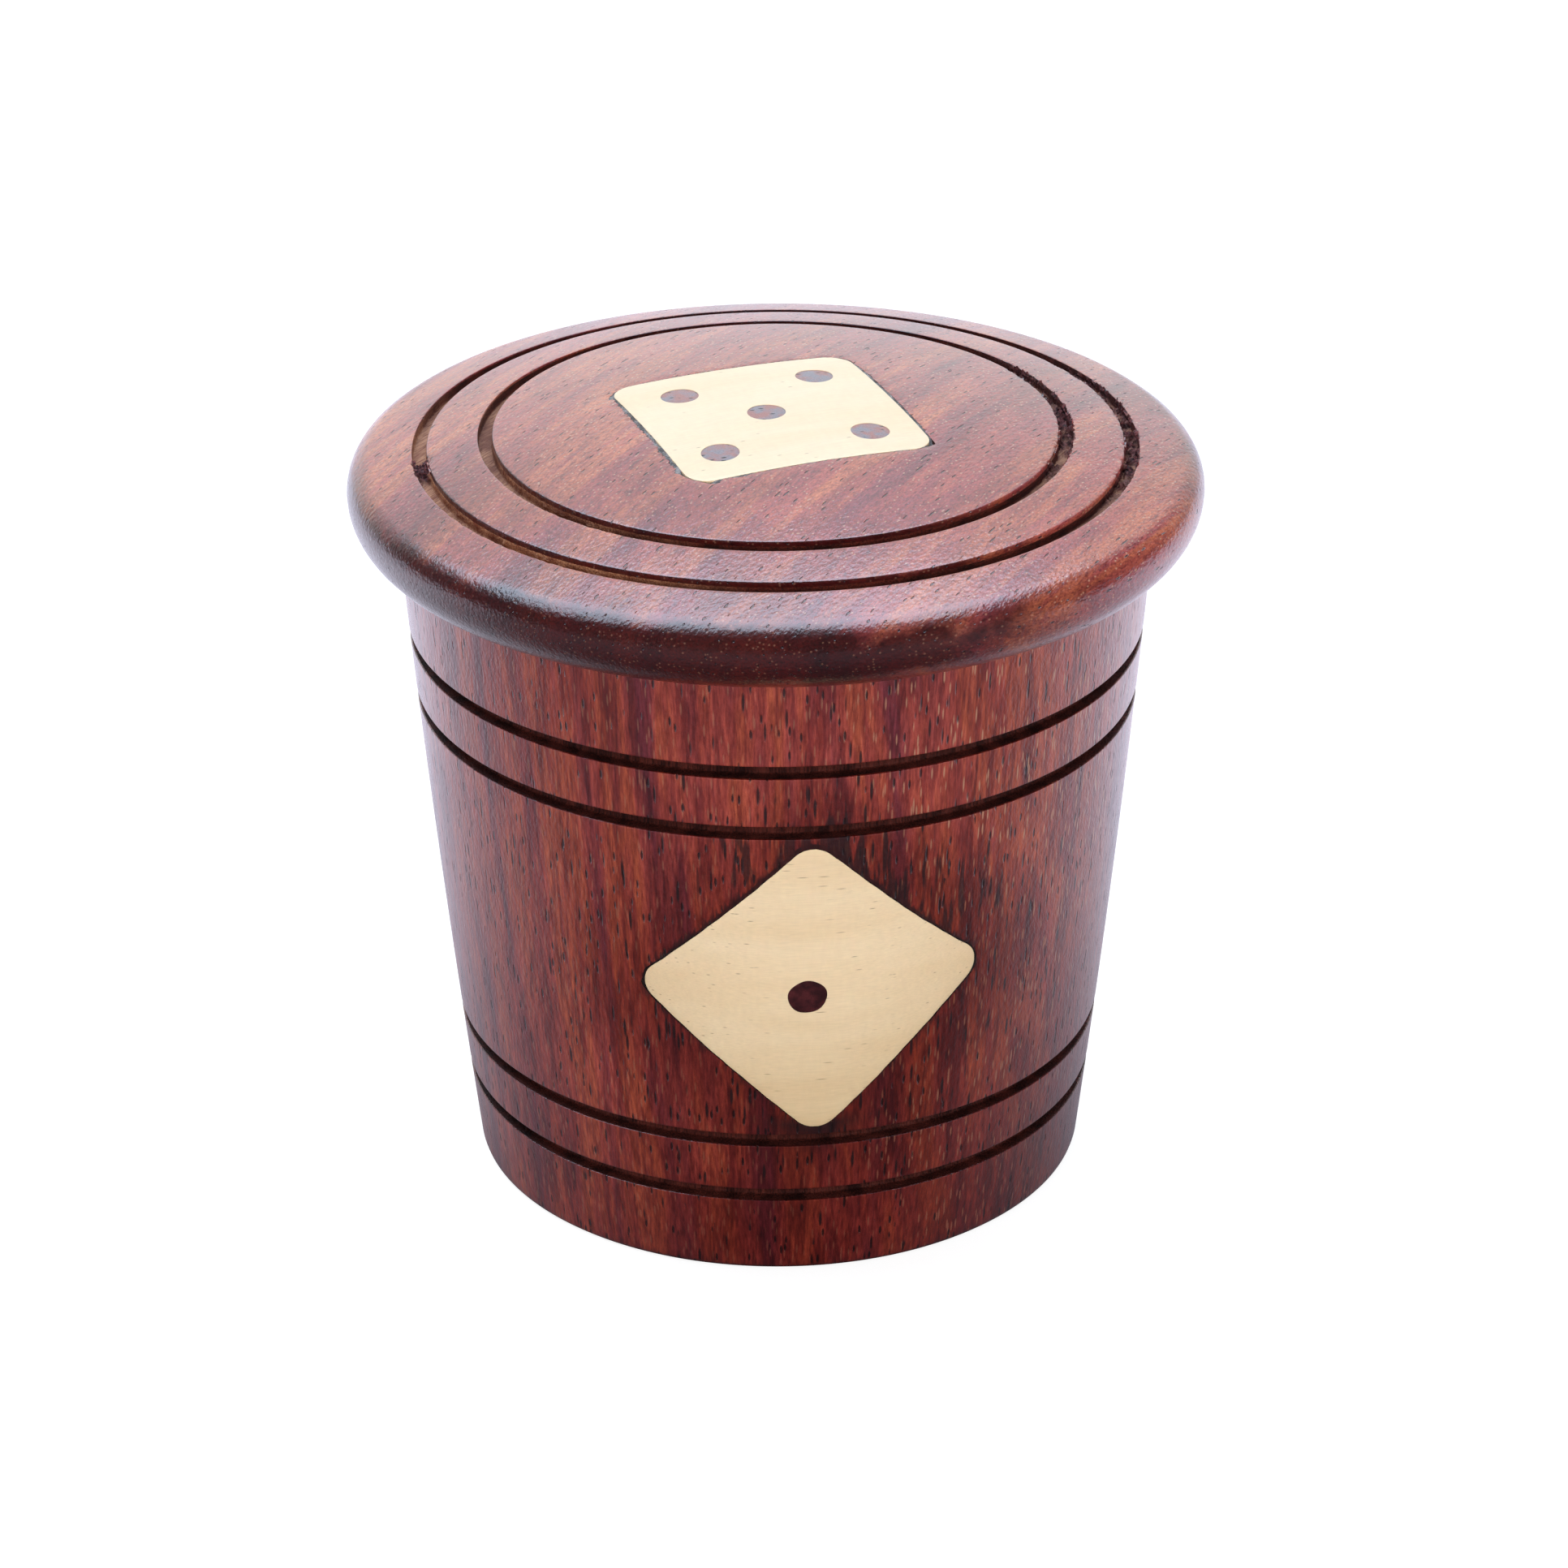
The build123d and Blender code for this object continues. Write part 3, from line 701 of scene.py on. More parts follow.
dice_maple = white_maple(
    "maple_dice_sanded_oiled",
    upright,
    colours=[(0.3, "#d9b780"), (0.7, "#e9cf9e")],
    dash=(0.5, 0.5, 2.5),
    dash_share=0.3,
)
front_filler = seam_filler("black_wood_filler_front_scraped", "#0e0707", "#2c2422")
lid_filler = seam_filler("grey_wood_filler_lid_scraped", "#3c3634", "#908b88")
lid_plug_wood = spot_face("walnut_plug_lid_scuffed", "#a0706a", "#868086", nick_share=0.3)
front_plug_wood = spot_face("walnut_plug_front_stained", "#2c1216", "#4a2024")
spot_paint = spot_face("black_spot_paint_in_drilled_spots", "#150c0b", "#241614")

# ---------------------------------------------------------------- meshes and pieces


def placed_in_scene(name, data):
    """An object with the given mesh, lamp or camera, linked to the scene."""
    obj = bpy.data.objects.new(name, data)
    bpy.context.scene.collection.objects.link(obj)
    return obj


def mesh_of(name, vertices, polygons, materials=(), indices=None):
    """A mesh from vertices in metres and polygons, with a material index for each polygon."""
    mesh = bpy.data.meshes.new(name)
    mesh.from_pydata([tuple(v) for v in vertices], [], [tuple(p) for p in polygons])
    for material in materials:
        mesh.materials.append(material)
    if indices is not None:
        mesh.polygons.foreach_set("material_index", np.asarray(indices, dtype=np.int32))
    return mesh


def grown(name, mesh, tree, values):
    """The mesh that a Geometry Nodes tree grows from a mesh, with its named inputs set."""
    seed = placed_in_scene(name, mesh)
    modifier = seed.modifiers.new(name, "NODES")
    modifier.node_group = tree
    inputs = {item.name: item.identifier for item in tree.interface.items_tree if item.in_out == "INPUT"}
    for title, value in values.items():
        modifier[inputs[title]] = value
    graph = bpy.context.evaluated_depsgraph_get()
    result = bpy.data.meshes.new_from_object(seed.evaluated_get(graph))
    bpy.data.objects.remove(seed)
    return result


def piece(name, meshes, body, slot, *nodes, sharp=35):
    """Joins meshes where they meet into one finished piece that rides on a body."""
    shape = bmesh.new()
    materials = []
    for mesh in meshes:
        materials += [finish for finish in mesh.materials if finish and finish not in materials]
    for mesh in meshes:
        indices = np.zeros(len(mesh.polygons), dtype=np.int32)
        mesh.polygons.foreach_get("material_index", indices)
        order = np.array([materials.index(finish) if finish else 0 for finish in mesh.materials])
        mesh.polygons.foreach_set("material_index", order[indices].astype(np.int32))
        shape.from_mesh(mesh)
    bmesh.ops.remove_doubles(shape, verts=shape.verts, dist=weld)
    loose = [v for v in shape.verts if not v.link_faces]
    bmesh.ops.delete(shape, geom=loose, context="VERTS")
    finished = bpy.data.meshes.new(name)
    shape.to_mesh(finished)
    shape.free()
    for material in materials:
        finished.materials.append(material)
    finished.shade_smooth()
    finished.set_sharp_from_angle(angle=radians(sharp))
    obj = placed_in_scene(name, finished)
    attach(obj, body)
    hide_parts(*nodes)


# ---------------------------------------------------------------- turned sections

# A corner of a section is (radius, height, setback, torn, cut).  The setback eases its edge,
# torn says how far tear-out may push the edge, outwards or inwards, and cut marks what the
# parting tool left raw.


def rounded(corners, arc_steps=3):
    """A section's corners with each edge eased, as points of (radius, height, torn, cut)."""
    points = []
    for k, (radius, height, setback, torn, cut) in enumerate(corners):
        if setback and 0 < k < len(corners) - 1:
            here = np.array([radius, height])
            sides = [np.array(corners[k + step][:2]) - here for step in (-1, 1)]
            lengths = [np.hypot(*side) for side in sides]
            first, last = (
                here + side * min(setback / length, 0.45) for side, length in zip(sides, lengths)
            )
            for share in np.linspace(0, 1, arc_steps + 1):
                point = (1 - share) ** 2 * first + 2 * share * (1 - share) * here + share**2 * last
                points.append((*point, torn, cut))
        else:
            points.append((radius, height, torn, cut))
    return points


def wall_groove(height):
    """The four corners of a groove cut square to the cup's wall, from its lower edge up."""
    along, inward = np.array([sin(taper), cos(taper)]), np.array([-cos(taper), sin(taper)])
    middle = np.array([wall_radius(height), height])
    low, high = middle - along * wall_groove_width / 2, middle + along * wall_groove_width / 2
    deep = inward * groove_depth
    return [
        (*low, arris, 0.1, 0),
        (*(low + deep), groove_root, 0, 1),
        (*(high + deep), groove_root, 0, 1),
        (*high, arris, 0.1, 0),
    ]


def cup_section():
    """The cup from the middle of its base out, up the wall, over the rim and down the bore."""
    row_height = 3.5
    past_edge = 1.2  # from the base or the rim to the wall's first row
    past_groove = wall_groove_width / 2 + arris + 0.06
    corners = [
        (0, 0, 0, 0, 0),
        (cup_base_radius * 0.6, 0, 0, 0, 0),
        (cup_base_radius, 0, base_round, 0, 0),
    ]
    bands = [0] + wall_grooves + [cup_height]
    for k, (below, above) in enumerate(zip(bands, bands[1:])):
        if k:
            corners += wall_groove(below)
        rows = max(2, round((above - below) / row_height))
        start = below + (past_groove if k else past_edge)
        stop = above - (past_groove if k < len(wall_grooves) else past_edge)
        corners += [(wall_radius(z), z, 0, 0, 0) for z in np.linspace(start, stop, rows + 1)]
    corners += [
        (cup_top_radius, cup_height, mouth_round, 0, 0),
        (mouth_radius, cup_height, 0.3, 0, 0),
        (mouth_radius, seat_height, 0.2, 0, 0),
        (bore_radius, seat_height, 0.2, 0, 0),
    ]
    inward, downward = floor_radius - bore_radius, floor_height - seat_height
    corners += [
        (bore_radius + inward * share, seat_height + downward * share, 0, 0, 0)
        for share in (0.25, 0.5, 0.75, 0.92)
    ]
    corners += [(floor_radius, floor_height, floor_round, 0, 0)]
    corners += [(floor_radius * share, floor_height, 0, 0, 0) for share in (0.8, 0.4, 0)]
    return rounded(corners)[::-1]


def edge_arc(centre, radius, start, stop, steps):
    """Points round the lid's edge, between two angles in degrees above the level."""
    return [
        (centre[0] + radius * cos(radians(angle)), centre[1] + radius * sin(radians(angle)), 0, 0, 0)
        for angle in np.linspace(start, stop, steps)
    ]


# the turned lid starts here, and the disc inside it is cut with the inlaid plate
disc_radius = lid_grooves[0] - lid_groove_width / 2 - 0.25


def lid_section():
    """The lid from the inner groove out over the crown, round the edge and down the spigot."""
    corners = [(disc_radius, crown_height(disc_radius), 0, 0, 0)]
    for groove, stop in zip(lid_grooves, (lid_grooves[1], lid_shoulder[0])):
        inner, outer = groove - lid_groove_width / 2, groove + lid_groove_width / 2
        bottom = crown_height(groove) - groove_depth
        corners += [
            (inner, crown_height(inner), arris, -0.14, 0),
            (inner, bottom + torn_to, 0, 0.15, 0.6),
            (inner, bottom + torn_from, 0, 0.5, 0.8),
            (inner, bottom, groove_root, 0, 1),
        ]
        corners += [(inner + share * lid_groove_width, bottom, 0, 0, 1) for share in (0.3, 0.5, 0.7)]
        corners += [
            (outer, bottom, groove_root, 0, 1),
            (outer, bottom + torn_from, 0, -0.3, 0.8),
            (outer, bottom + torn_to, 0, 0.1, 0.6),
            (outer, crown_height(outer), arris, 0.16, 0),
        ]
        rows = np.linspace(outer + 0.55, stop - lid_groove_width / 2 - 0.4, 4)
        corners += [(r, crown_height(r), 0, 0, 0) for r in rows]
    corners += [(*lid_shoulder, 0.5, 0, 0)]
    for edge_radius, start, stop, steps in ((2.9125, 42, 0, 6), (4.261, -9, -66, 7)):
        centre = (lid_radius - edge_radius, lid_widest_height)
        corners += edge_arc(centre, edge_radius, start, stop, steps)
    corners += [
        (lid_underside_radius, cup_height, 0.15, 0, 0),
        (spigot_radius + 3.0, cup_height, 0, 0, 0),
        (spigot_radius, cup_height, 0.2, 0, 0),
        (spigot_radius, spigot_end + spigot_chamfer, 0.15, 0, 0),
        (spigot_radius - spigot_chamfer, spigot_end, 0.15, 0, 0),
        (spigot_radius * 0.7, spigot_end, 0, 0, 0),
        (spigot_radius * 0.35, spigot_end, 0, 0, 0),
        (0, spigot_end, 0, 0, 0),
    ]
    return rounded(corners)


# ---------------------------------------------------------------- the turning tree

turning = bpy.data.node_groups.new("turning", "GeometryNodeTree")
put = partial(add, turning)
for title, kind in (
    ("Section", "NodeSocketGeometry"),
    ("Columns", "NodeSocketInt"),
    ("Tear Bearing", "NodeSocketFloat"),
    ("Chip Bearing", "NodeSocketFloat"),
    ("Clot Bearing", "NodeSocketFloat"),
    ("Clot Radius", "NodeSocketFloat"),
    ("Tear Reach", "NodeSocketFloat"),
    ("Window Bearing", "NodeSocketFloat"),
    ("Window Half Angle", "NodeSocketFloat"),
    ("Lacquered Wood", "NodeSocketMaterial"),
    ("Raw Wood", "NodeSocketMaterial"),
):
    turning.interface.new_socket(title, in_out="INPUT", socket_type=kind)
turning.interface.new_socket("Turned", in_out="OUTPUT", socket_type="NodeSocketGeometry")
given = put("NodeGroupInput", out=None).outputs

# a grid with a row for each point of the section and a column for each step round the axis
rows = put("GeometryNodeAttributeDomainSize", {"Geometry": given["Section"]})
last_row = put("ShaderNodeMath", {0: rows, 1: -1.0}, operation="ADD")
columns = put("ShaderNodeMath", {0: given["Columns"], 1: 1.0}, operation="ADD")
grid = put(
    "GeometryNodeMeshGrid",
    {"Size X": last_row, "Size Y": given["Columns"], "Vertices X": rows, "Vertices Y": columns},
)
cell = put("ShaderNodeSeparateXYZ", {"Vector": put("GeometryNodeInputPosition")}, out=None).outputs
row = put("ShaderNodeMath", {0: last_row, 1: 0.5, 2: cell["X"]}, operation="MULTIPLY_ADD")
row = put("ShaderNodeMath", {0: row}, operation="ROUND")
turn = put("ShaderNodeMath", {0: cell["Y"], 1: given["Columns"]}, operation="DIVIDE")
turn = put("ShaderNodeMath", {0: turn, 1: tau}, operation="MULTIPLY")

# each row reads its point of the section, and each column turns it to its bearing
read = {
    mark: put(
        "GeometryNodeSampleIndex",
        {
            "Geometry": given["Section"],
            "Value": put("GeometryNodeInputNamedAttribute", {"Name": mark}, data_type="FLOAT"),
            "Index": row,
        },
        data_type="FLOAT",
    )
    for mark in ("torn", "cut", "window")
}
section_point = put(
    "GeometryNodeSampleIndex",
    {"Geometry": given["Section"], "Value": put("GeometryNodeInputPosition"), "Index": row},
    data_type="FLOAT_VECTOR",
)
section_point = put("ShaderNodeSeparateXYZ", {"Vector": section_point}, out=None).outputs
bearing = {
    axis: put("ShaderNodeMath", {0: turn}, operation=way) for axis, way in (("X", "COSINE"), ("Y", "SINE"))
}
outward = put("ShaderNodeCombineXYZ", bearing)
level = put("ShaderNodeCombineXYZ", {"Z": section_point["Z"]})
turned_point = put(
    "ShaderNodeVectorMath", {0: outward, 1: section_point["X"], 2: level}, operation="MULTIPLY_ADD"
)

# where the tool meets the ends of the fibres it tears them out in crumbs, opposite, where it
# leaves them, it only chips the edges, and one clot of dust stuck in the outer groove
ways = {}
for title, nothing, full in (
    ("Tear Bearing", 0.8, 0.95),
    ("Chip Bearing", 0.86, 0.97),
    ("Clot Bearing", 0.9978, 0.999),
):
    aside = put("ShaderNodeMath", {0: turn, 1: given[title]}, operation="SUBTRACT")
    aside = put("ShaderNodeMath", {0: aside}, operation="COSINE")
    ways[title] = put("ShaderNodeMapRange", {"Value": aside, 1: nothing, 2: full, 3: 0.0, 4: 1.0})
grains = [
    put("ShaderNodeTexNoise", {"Vector": turned_point, "Scale": 1 / (size * MM), "Detail": detail})
    for size, detail in ((1.6, 1.0), (0.4, 3.0))
]
clump = put("ShaderNodeMapRange", {"Value": grains[0], 1: 0.36, 2: 0.56, 3: 0.0, 4: 1.0})
crumb = put("ShaderNodeMapRange", {"Value": grains[1], 1: 0.36, 2: 0.66, 3: 0.0, 4: 1.0})
crumbs = put("ShaderNodeMath", {0: ways["Tear Bearing"], 1: clump}, operation="MULTIPLY")
beyond = put(
    "ShaderNodeMath", {0: section_point["X"], 1: given["Clot Radius"]}, operation="GREATER_THAN"
)
clot = put("ShaderNodeMath", {0: ways["Clot Bearing"], 1: beyond}, operation="MULTIPLY")
crumbs = put("ShaderNodeMath", {0: crumbs, 1: clot}, operation="MAXIMUM")
chips = put("ShaderNodeMath", {0: ways["Chip Bearing"], 1: clump}, operation="MULTIPLY")
chips = put("ShaderNodeMath", {0: chips, 1: 0.4}, operation="MULTIPLY")
chips = put("ShaderNodeMath", {0: crumbs, 1: chips}, operation="MAXIMUM")
chips = put("ShaderNodeMath", {0: chips, 1: 0.04}, operation="ADD")

# tearing pushes the edges along the radius, and crumbs heave up from the raw cut
shifts = {}
for shift, amount, mark in (("tear", chips, "torn"), ("heave", crumbs, "cut")):
    amount = put("ShaderNodeMath", {0: amount, 1: crumb}, operation="MULTIPLY")
    amount = put("ShaderNodeMath", {0: amount, 1: read[mark]}, operation="MULTIPLY")
    shifts[shift] = put("ShaderNodeMath", {0: amount, 1: given["Tear Reach"]}, operation="MULTIPLY")
sunk = put("ShaderNodeMath", {0: shifts["tear"]}, operation="ABSOLUTE")
sunk = put("ShaderNodeMath", {0: sunk, 1: -0.5}, operation="MULTIPLY")
heave = put("ShaderNodeMath", {0: shifts["heave"], 1: sunk}, operation="ADD")
push = put(
    "ShaderNodeVectorMath",
    {0: outward, 1: shifts["tear"], 2: put("ShaderNodeCombineXYZ", {"Z": heave})},
    operation="MULTIPLY_ADD",
)

# a window left open in the wall, where the patch round an inlaid plate goes
aside = put("ShaderNodeMath", {0: turn, 1: given["Window Bearing"]}, operation="SUBTRACT")
aside = put("ShaderNodeMath", {0: aside}, operation="ABSOLUTE")
within = put("ShaderNodeMath", {0: aside, 1: given["Window Half Angle"]}, operation="LESS_THAN")
within = put("ShaderNodeMath", {0: within, 1: read["window"]}, operation="MULTIPLY")
shell = grid
for mark, value in (("cut", read["cut"]), ("inside", within), ("crumbs", crumbs)):
    shell = put("GeometryNodeStoreNamedAttribute", {"Geometry": shell, "Name": mark, "Value": value})
shell = put("GeometryNodeSetPosition", {"Geometry": shell, "Position": turned_point, "Offset": push})
over = {}
for mark, least in (("inside", 0.99), ("cut", 0.4)):
    over[mark] = put("GeometryNodeInputNamedAttribute", {"Name": mark}, data_type="FLOAT")
    over[mark] = put("ShaderNodeMath", {0: over[mark], 1: least}, operation="GREATER_THAN")
shell = put("GeometryNodeDeleteGeometry", {"Geometry": shell, "Selection": over["inside"]}, domain="FACE")
shell = put("GeometryNodeMergeByDistance", {"Geometry": shell, "Distance": weld})
shell = put("GeometryNodeRealizeInstances", {"Geometry": shell})
shell = put("GeometryNodeSetMaterial", {"Geometry": shell, "Material": given["Lacquered Wood"]})
shell = put(
    "GeometryNodeSetMaterial",
    {"Geometry": shell, "Selection": over["cut"], "Material": given["Raw Wood"]},
)
put("NodeGroupOutput", {0: shell}, out=None)


def turned(name, section, columns, wood, raw_wood, tear_reach, window=None):
    """A mesh of revolution, with its grooves torn and, for a wall, its window left open.

    window is the heights and the half angle between which the wall is left out.
    """
    points = np.array(section)
    mesh = bpy.data.meshes.new(name)
    steps = [(k, k + 1) for k in range(len(points) - 1)]
    mesh.from_pydata([(r * MM, 0, z * MM) for r, z, _, _ in section], steps, [])
    low, high, half_angle = window or (0, 0, 0)
    on_wall = points[:, 0] > bore_radius + 0.5
    in_window = (points[:, 1] > low) & (points[:, 1] < high) & on_wall
    for mark, values in (("torn", points[:, 2]), ("cut", points[:, 3]), ("window", in_window)):
        stored = mesh.attributes.new(mark, "FLOAT", "POINT")
        stored.data.foreach_set("value", np.asarray(values, dtype=np.float32))
    quarter_column = 0.25 * tau / columns  # so that the window's last column is inside it
    shell = grown(
        name,
        mesh,
        turning,
        {
            "Columns": columns,
            "Tear Bearing": tear_bearing,
            "Chip Bearing": chip_bearing,
            "Clot Bearing": clot_bearing,
            "Clot Radius": sum(lid_grooves) / 2 * MM,
            "Tear Reach": tear_reach * MM,
            "Window Bearing": -pi / 2,
            "Window Half Angle": half_angle + quarter_column if window else 0.0,
            "Lacquered Wood": wood,
            "Raw Wood": raw_wood,
        },
    )
    for mark in ("cut", "inside"):
        shell.attributes.remove(shell.attributes[mark])
    return shell


# ---------------------------------------------------------------- inlaid plates


def plate_outline(side, corner, turn, centre, wobble, rng):
    """A hand-cut rounded square: its points anticlockwise, their normals and places round it.

    A place runs from 0 to 4, a whole number at each corner, starting at the lower right.
    """
    corner_steps, edge_steps = 7, 102
    flat = side - 2 * corner
    points, normals, places = [], [], []
    for k in range(4):
        angle = turn + k * pi / 2
        along, out = np.array([-sin(angle), cos(angle)]), np.array([cos(angle), sin(angle)])
        first, last = (out * (side / 2 - corner) + end * along * flat / 2 for end in (-1, 1))
        leans = np.linspace(0, 0.5, corner_steps, endpoint=False)
        early_leans = np.linspace(-0.5, 0, corner_steps, endpoint=False) + 0.5 / corner_steps
        shares = np.linspace(0, 1, edge_steps, endpoint=False)
        rows = [(first, lean, 0, k + (lean + 0.5) * 0.1) for lean in early_leans]
        rows += [(first, 0, share, k + 0.05 + 0.9 * share) for share in shares]
        rows += [(last, lean, 0, k + 0.95 + lean * 0.1) for lean in leans]
        for hub, lean, share, place in rows:
            lean = angle + lean * pi / 2
            way = np.array([cos(lean), sin(lean)])
            points.append(hub + way * corner + along * flat * share)
            normals.append(way)
            places.append(place)
    points, normals, places = np.array(points), np.array(normals), np.array(places)
    waves = sum(
        rng.normal() * np.cos(places * pi / 2 * order + rng.uniform(0, tau)) / sqrt(order)
        for order in (3, 5, 8, 13, 21, 34)
    )
    return points + centre + normals * (wobble * waves)[:, None], normals, places


def seam_width(places, base, ragged, spurs, rng):
    """The width of the filled seam at each place, with a fine raggedness and some overcuts.

    A spur is an overcut's place, how far it reaches and how far it spreads.
    """
    least = 0.03
    fine = np.convolve(np.tile(rng.normal(size=len(places)), 3), [0.25, 0.5, 0.25], "same")
    width = base + ragged * np.abs(fine[len(places) : 2 * len(places)])
    for place, reach, spread in spurs:
        away = (places - place + 2) % 4 - 2
        width = width + reach * np.clip(1 - np.abs(away) / spread, 0, None) ** 1.5
    return np.maximum(width, least)


def drilled(rng, uneven=0.02):
    """A drilled hole's outline, a little out of round."""
    angles = np.linspace(0, tau, 48, endpoint=False)
    waves = sum(rng.normal() * np.cos(k * angles + rng.uniform(0, tau)) / k for k in (2, 3, 5))
    reach = plug_radius * (1 + uneven * waves)
    return np.column_stack([reach * np.cos(angles), reach * np.sin(angles)])


def inside(points, loop):
    """Which points lie inside a closed loop."""
    x, y = points[:, :1], points[:, 1:]
    a, b = loop, np.roll(loop, -1, axis=0)
    level = np.where(a[:, 1] == b[:, 1], 1e-12, b[:, 1] - a[:, 1])
    crosses = (a[:, 1] > y) != (b[:, 1] > y)
    reach = a[:, 0] + (y - a[:, 1]) * (b[:, 0] - a[:, 0]) / level
    return (crosses & (x < reach)).sum(axis=1) % 2 == 1


def triangulated(border, loops, rng, spacing=0.6, jitter=0.12):
    """Points and triangles that fill a border and keep every loop as edges."""
    low, high = border.min(axis=0), border.max(axis=0)
    rows = np.arange(low[1], high[1], spacing * sqrt(3) / 2)
    lattice = np.array(
        [
            (x + (k % 2) * spacing / 2, y)
            for k, y in enumerate(rows)
            for x in np.arange(low[0], high[0], spacing)
        ]
    )
    lattice += rng.uniform(-jitter, jitter, lattice.shape) * spacing
    fixed = np.vstack([border, *loops])
    crowd = kdtree.KDTree(len(fixed))
    for k, (x, y) in enumerate(fixed):
        crowd.insert((x, y, 0), k)
    crowd.balance()
    clear = np.array([crowd.find((x, y, 0))[2] > 0.5 * spacing for x, y in lattice])
    lattice = lattice[clear & inside(lattice, border)]
    points = np.vstack([fixed, lattice])
    edges, start = [], 0
    for loop in (border, *loops):
        count = len(loop)
        edges += [(start + k, start + (k + 1) % count) for k in range(count)]
        start += count
    vertices, _, faces, *_ = delaunay_2d_cdt([Vector(p) for p in points], edges, [], 0, 1e-7)
    vertices, faces = np.array([tuple(v) for v in vertices]), np.array(faces)
    a, b, c = (vertices[faces[:, k]] for k in range(3))
    area = (b[:, 0] - a[:, 0]) * (c[:, 1] - a[:, 1]) - (b[:, 1] - a[:, 1]) * (c[:, 0] - a[:, 0])
    faces[area < 0] = faces[area < 0][:, ::-1]
    faces = faces[inside((a + b + c) / 3, border) & (np.abs(area) > 1e-9)]
    return vertices, faces


def rim(faces, count):
    """The directed edges round a set of triangles."""
    edges = np.vstack([faces[:, [0, 1]], faces[:, [1, 2]], faces[:, [2, 0]]])
    keys = edges[:, 0] * count + edges[:, 1]
    back = edges[:, 1] * count + edges[:, 0]
    return edges[~np.isin(keys, back)]


def built(name, levels, faces, walls, materials):
    """A mesh from triangles laid on levels and walls that drop from one level to another.

    Each item of faces is (triangles, level, facing up, material index), and each of walls is
    (triangles round which it runs, upper level, lower level, facing out, material index).
    """
    count = len(next(iter(levels.values())))
    start = {level: k * count for k, level in enumerate(levels)}
    polygons, indices = [], []
    for triangles, level, up, index in faces:
        shown = (triangles if up else triangles[:, ::-1]) + start[level]
        polygons += shown.tolist()
        indices += [index] * len(shown)
    for triangles, upper, lower, out, index in walls:
        for a, b in rim(triangles, count):
            quad = (b + start[upper], a + start[upper], a + start[lower], b + start[lower])
            polygons.append(quad if out else quad[::-1])
            indices.append(index)
    used = sorted({v for polygon in polygons for v in polygon})
    renumber = {v: k for k, v in enumerate(used)}
    vertices = np.vstack(list(levels.values()))[used] * MM
    polygons = [[renumber[v] for v in polygon] for polygon in polygons]
    return mesh_of(name, vertices, polygons, materials, indices)


def inlay(
    names,
    seat,
    rise,
    border,
    outline,
    seam,
    filler_sink,
    plugs,
    plug_outline,
    plug_floor,
    finishes,
    body,
    nodes,
    rng,
):
    """The wood, filler, plate and plugs of one inlaid die face, all from one triangulation.

    seat is the origin and axes of the pocket's floor, rise the height of the turned surface
    above it.  The wood comes back as a mesh to join to the turned piece.
    """
    edge_loop = 0.12  # from the plate's edge in to a loop that keeps its arris narrow
    plate_loop, normals, _ = outline
    inner_loop = plate_loop - normals * edge_loop
    pocket_loop = plate_loop + normals * seam[:, None]
    plug_loops = [middle + plug_outline(rng) for middle in plugs]
    vertices, faces = triangulated(border, [pocket_loop, plate_loop, inner_loop, *plug_loops], rng)
    centres = vertices[faces].mean(axis=1)
    in_pocket, in_plate = inside(centres, pocket_loop), inside(centres, plate_loop)
    in_plugs = np.any([inside(centres, loop) for loop in plug_loops], axis=0)
    wood, pocket, whole_plate = faces[~in_pocket], faces[in_pocket], faces[in_plate]
    plate, plug = faces[in_plate & ~in_plugs], faces[in_plugs]
    filler = faces[in_pocket & ~in_plate]

    # how far each surface lies below the turned one: edges eased, filler and plugs sunk
    origin, axis_x, axis_y, axis_n = seat
    flat = origin + vertices[:, :1] * axis_x + vertices[:, 1:] * axis_y
    height = rise(vertices)
    plate_edge, pocket_edge, plug_edge = (
        np.unique(rim(shape, len(vertices))) for shape in (whole_plate, pocket, plug)
    )
    drop = {level: np.zeros(len(vertices)) for level in ("wood", "filler", "plate", "plug")}
    plate_ease, hole_ease, plug_ease, plug_sink = 0.04, 0.02, 0.04, 0.03
    drop["wood"][pocket_edge] = rng.uniform(0.01, 0.09, len(pocket_edge))
    drop["plate"][plate_edge] = plate_ease
    drop["plate"][plug_edge] = hole_ease
    drop["filler"] += filler_sink(vertices, rng)
    drop["plug"] += plug_sink
    drop["plug"][plug_edge] += plug_ease
    levels = {level: flat + (height - fall)[:, None] * axis_n for level, fall in drop.items()}
    levels["seat"] = flat
    levels["hole"] = flat + plug_floor * axis_n
    wood_mesh = built(
        names["wood"],
        levels,
        [(wood, "wood", True, 0), (pocket, "seat", True, 1)],
        [(pocket, "wood", "seat", False, 1)],
        [finishes["wood"], finishes["raw"]],
    )
    plate_faces = [(plate, "plate", True, 0), (whole_plate, "seat", False, 0), (plug, "hole", True, 0)]
    plate_walls = [(whole_plate, "plate", "seat", True, 0), (plug, "plate", "hole", False, 0)]
    for part, faces, walls, slot in (
        ("plate", plate_faces, plate_walls, "maple_plate"),
        (
            "filler",
            [(filler, "filler", True, 0), (filler, "seat", False, 0)],
            [(filler, "filler", "seat", True, 0)],
            "dark_filler",
        ),
        (
            "plug",
            [(plug, "plug", True, 0), (plug, "hole", False, 0)],
            [(plug, "plug", "hole", True, 0)],
            "walnut_plugs",
        ),
    ):
        mesh = built(names[part], levels, faces, walls, [finishes[part]])
        piece(names[part], [mesh], body, slot, nodes[part])
    return wood_mesh


# the lid's die face of five
rng = np.random.default_rng(7)
lid_columns = 960
lid_angles = np.linspace(-pi, pi, lid_columns, endpoint=False)
lid_seat_height = lid_top - lid_plate_thickness
lid_outline = plate_outline(
    lid_plate_side, plate_corner, lid_plate_turn, lid_plate_centre, wobble=0.035, rng=rng
)

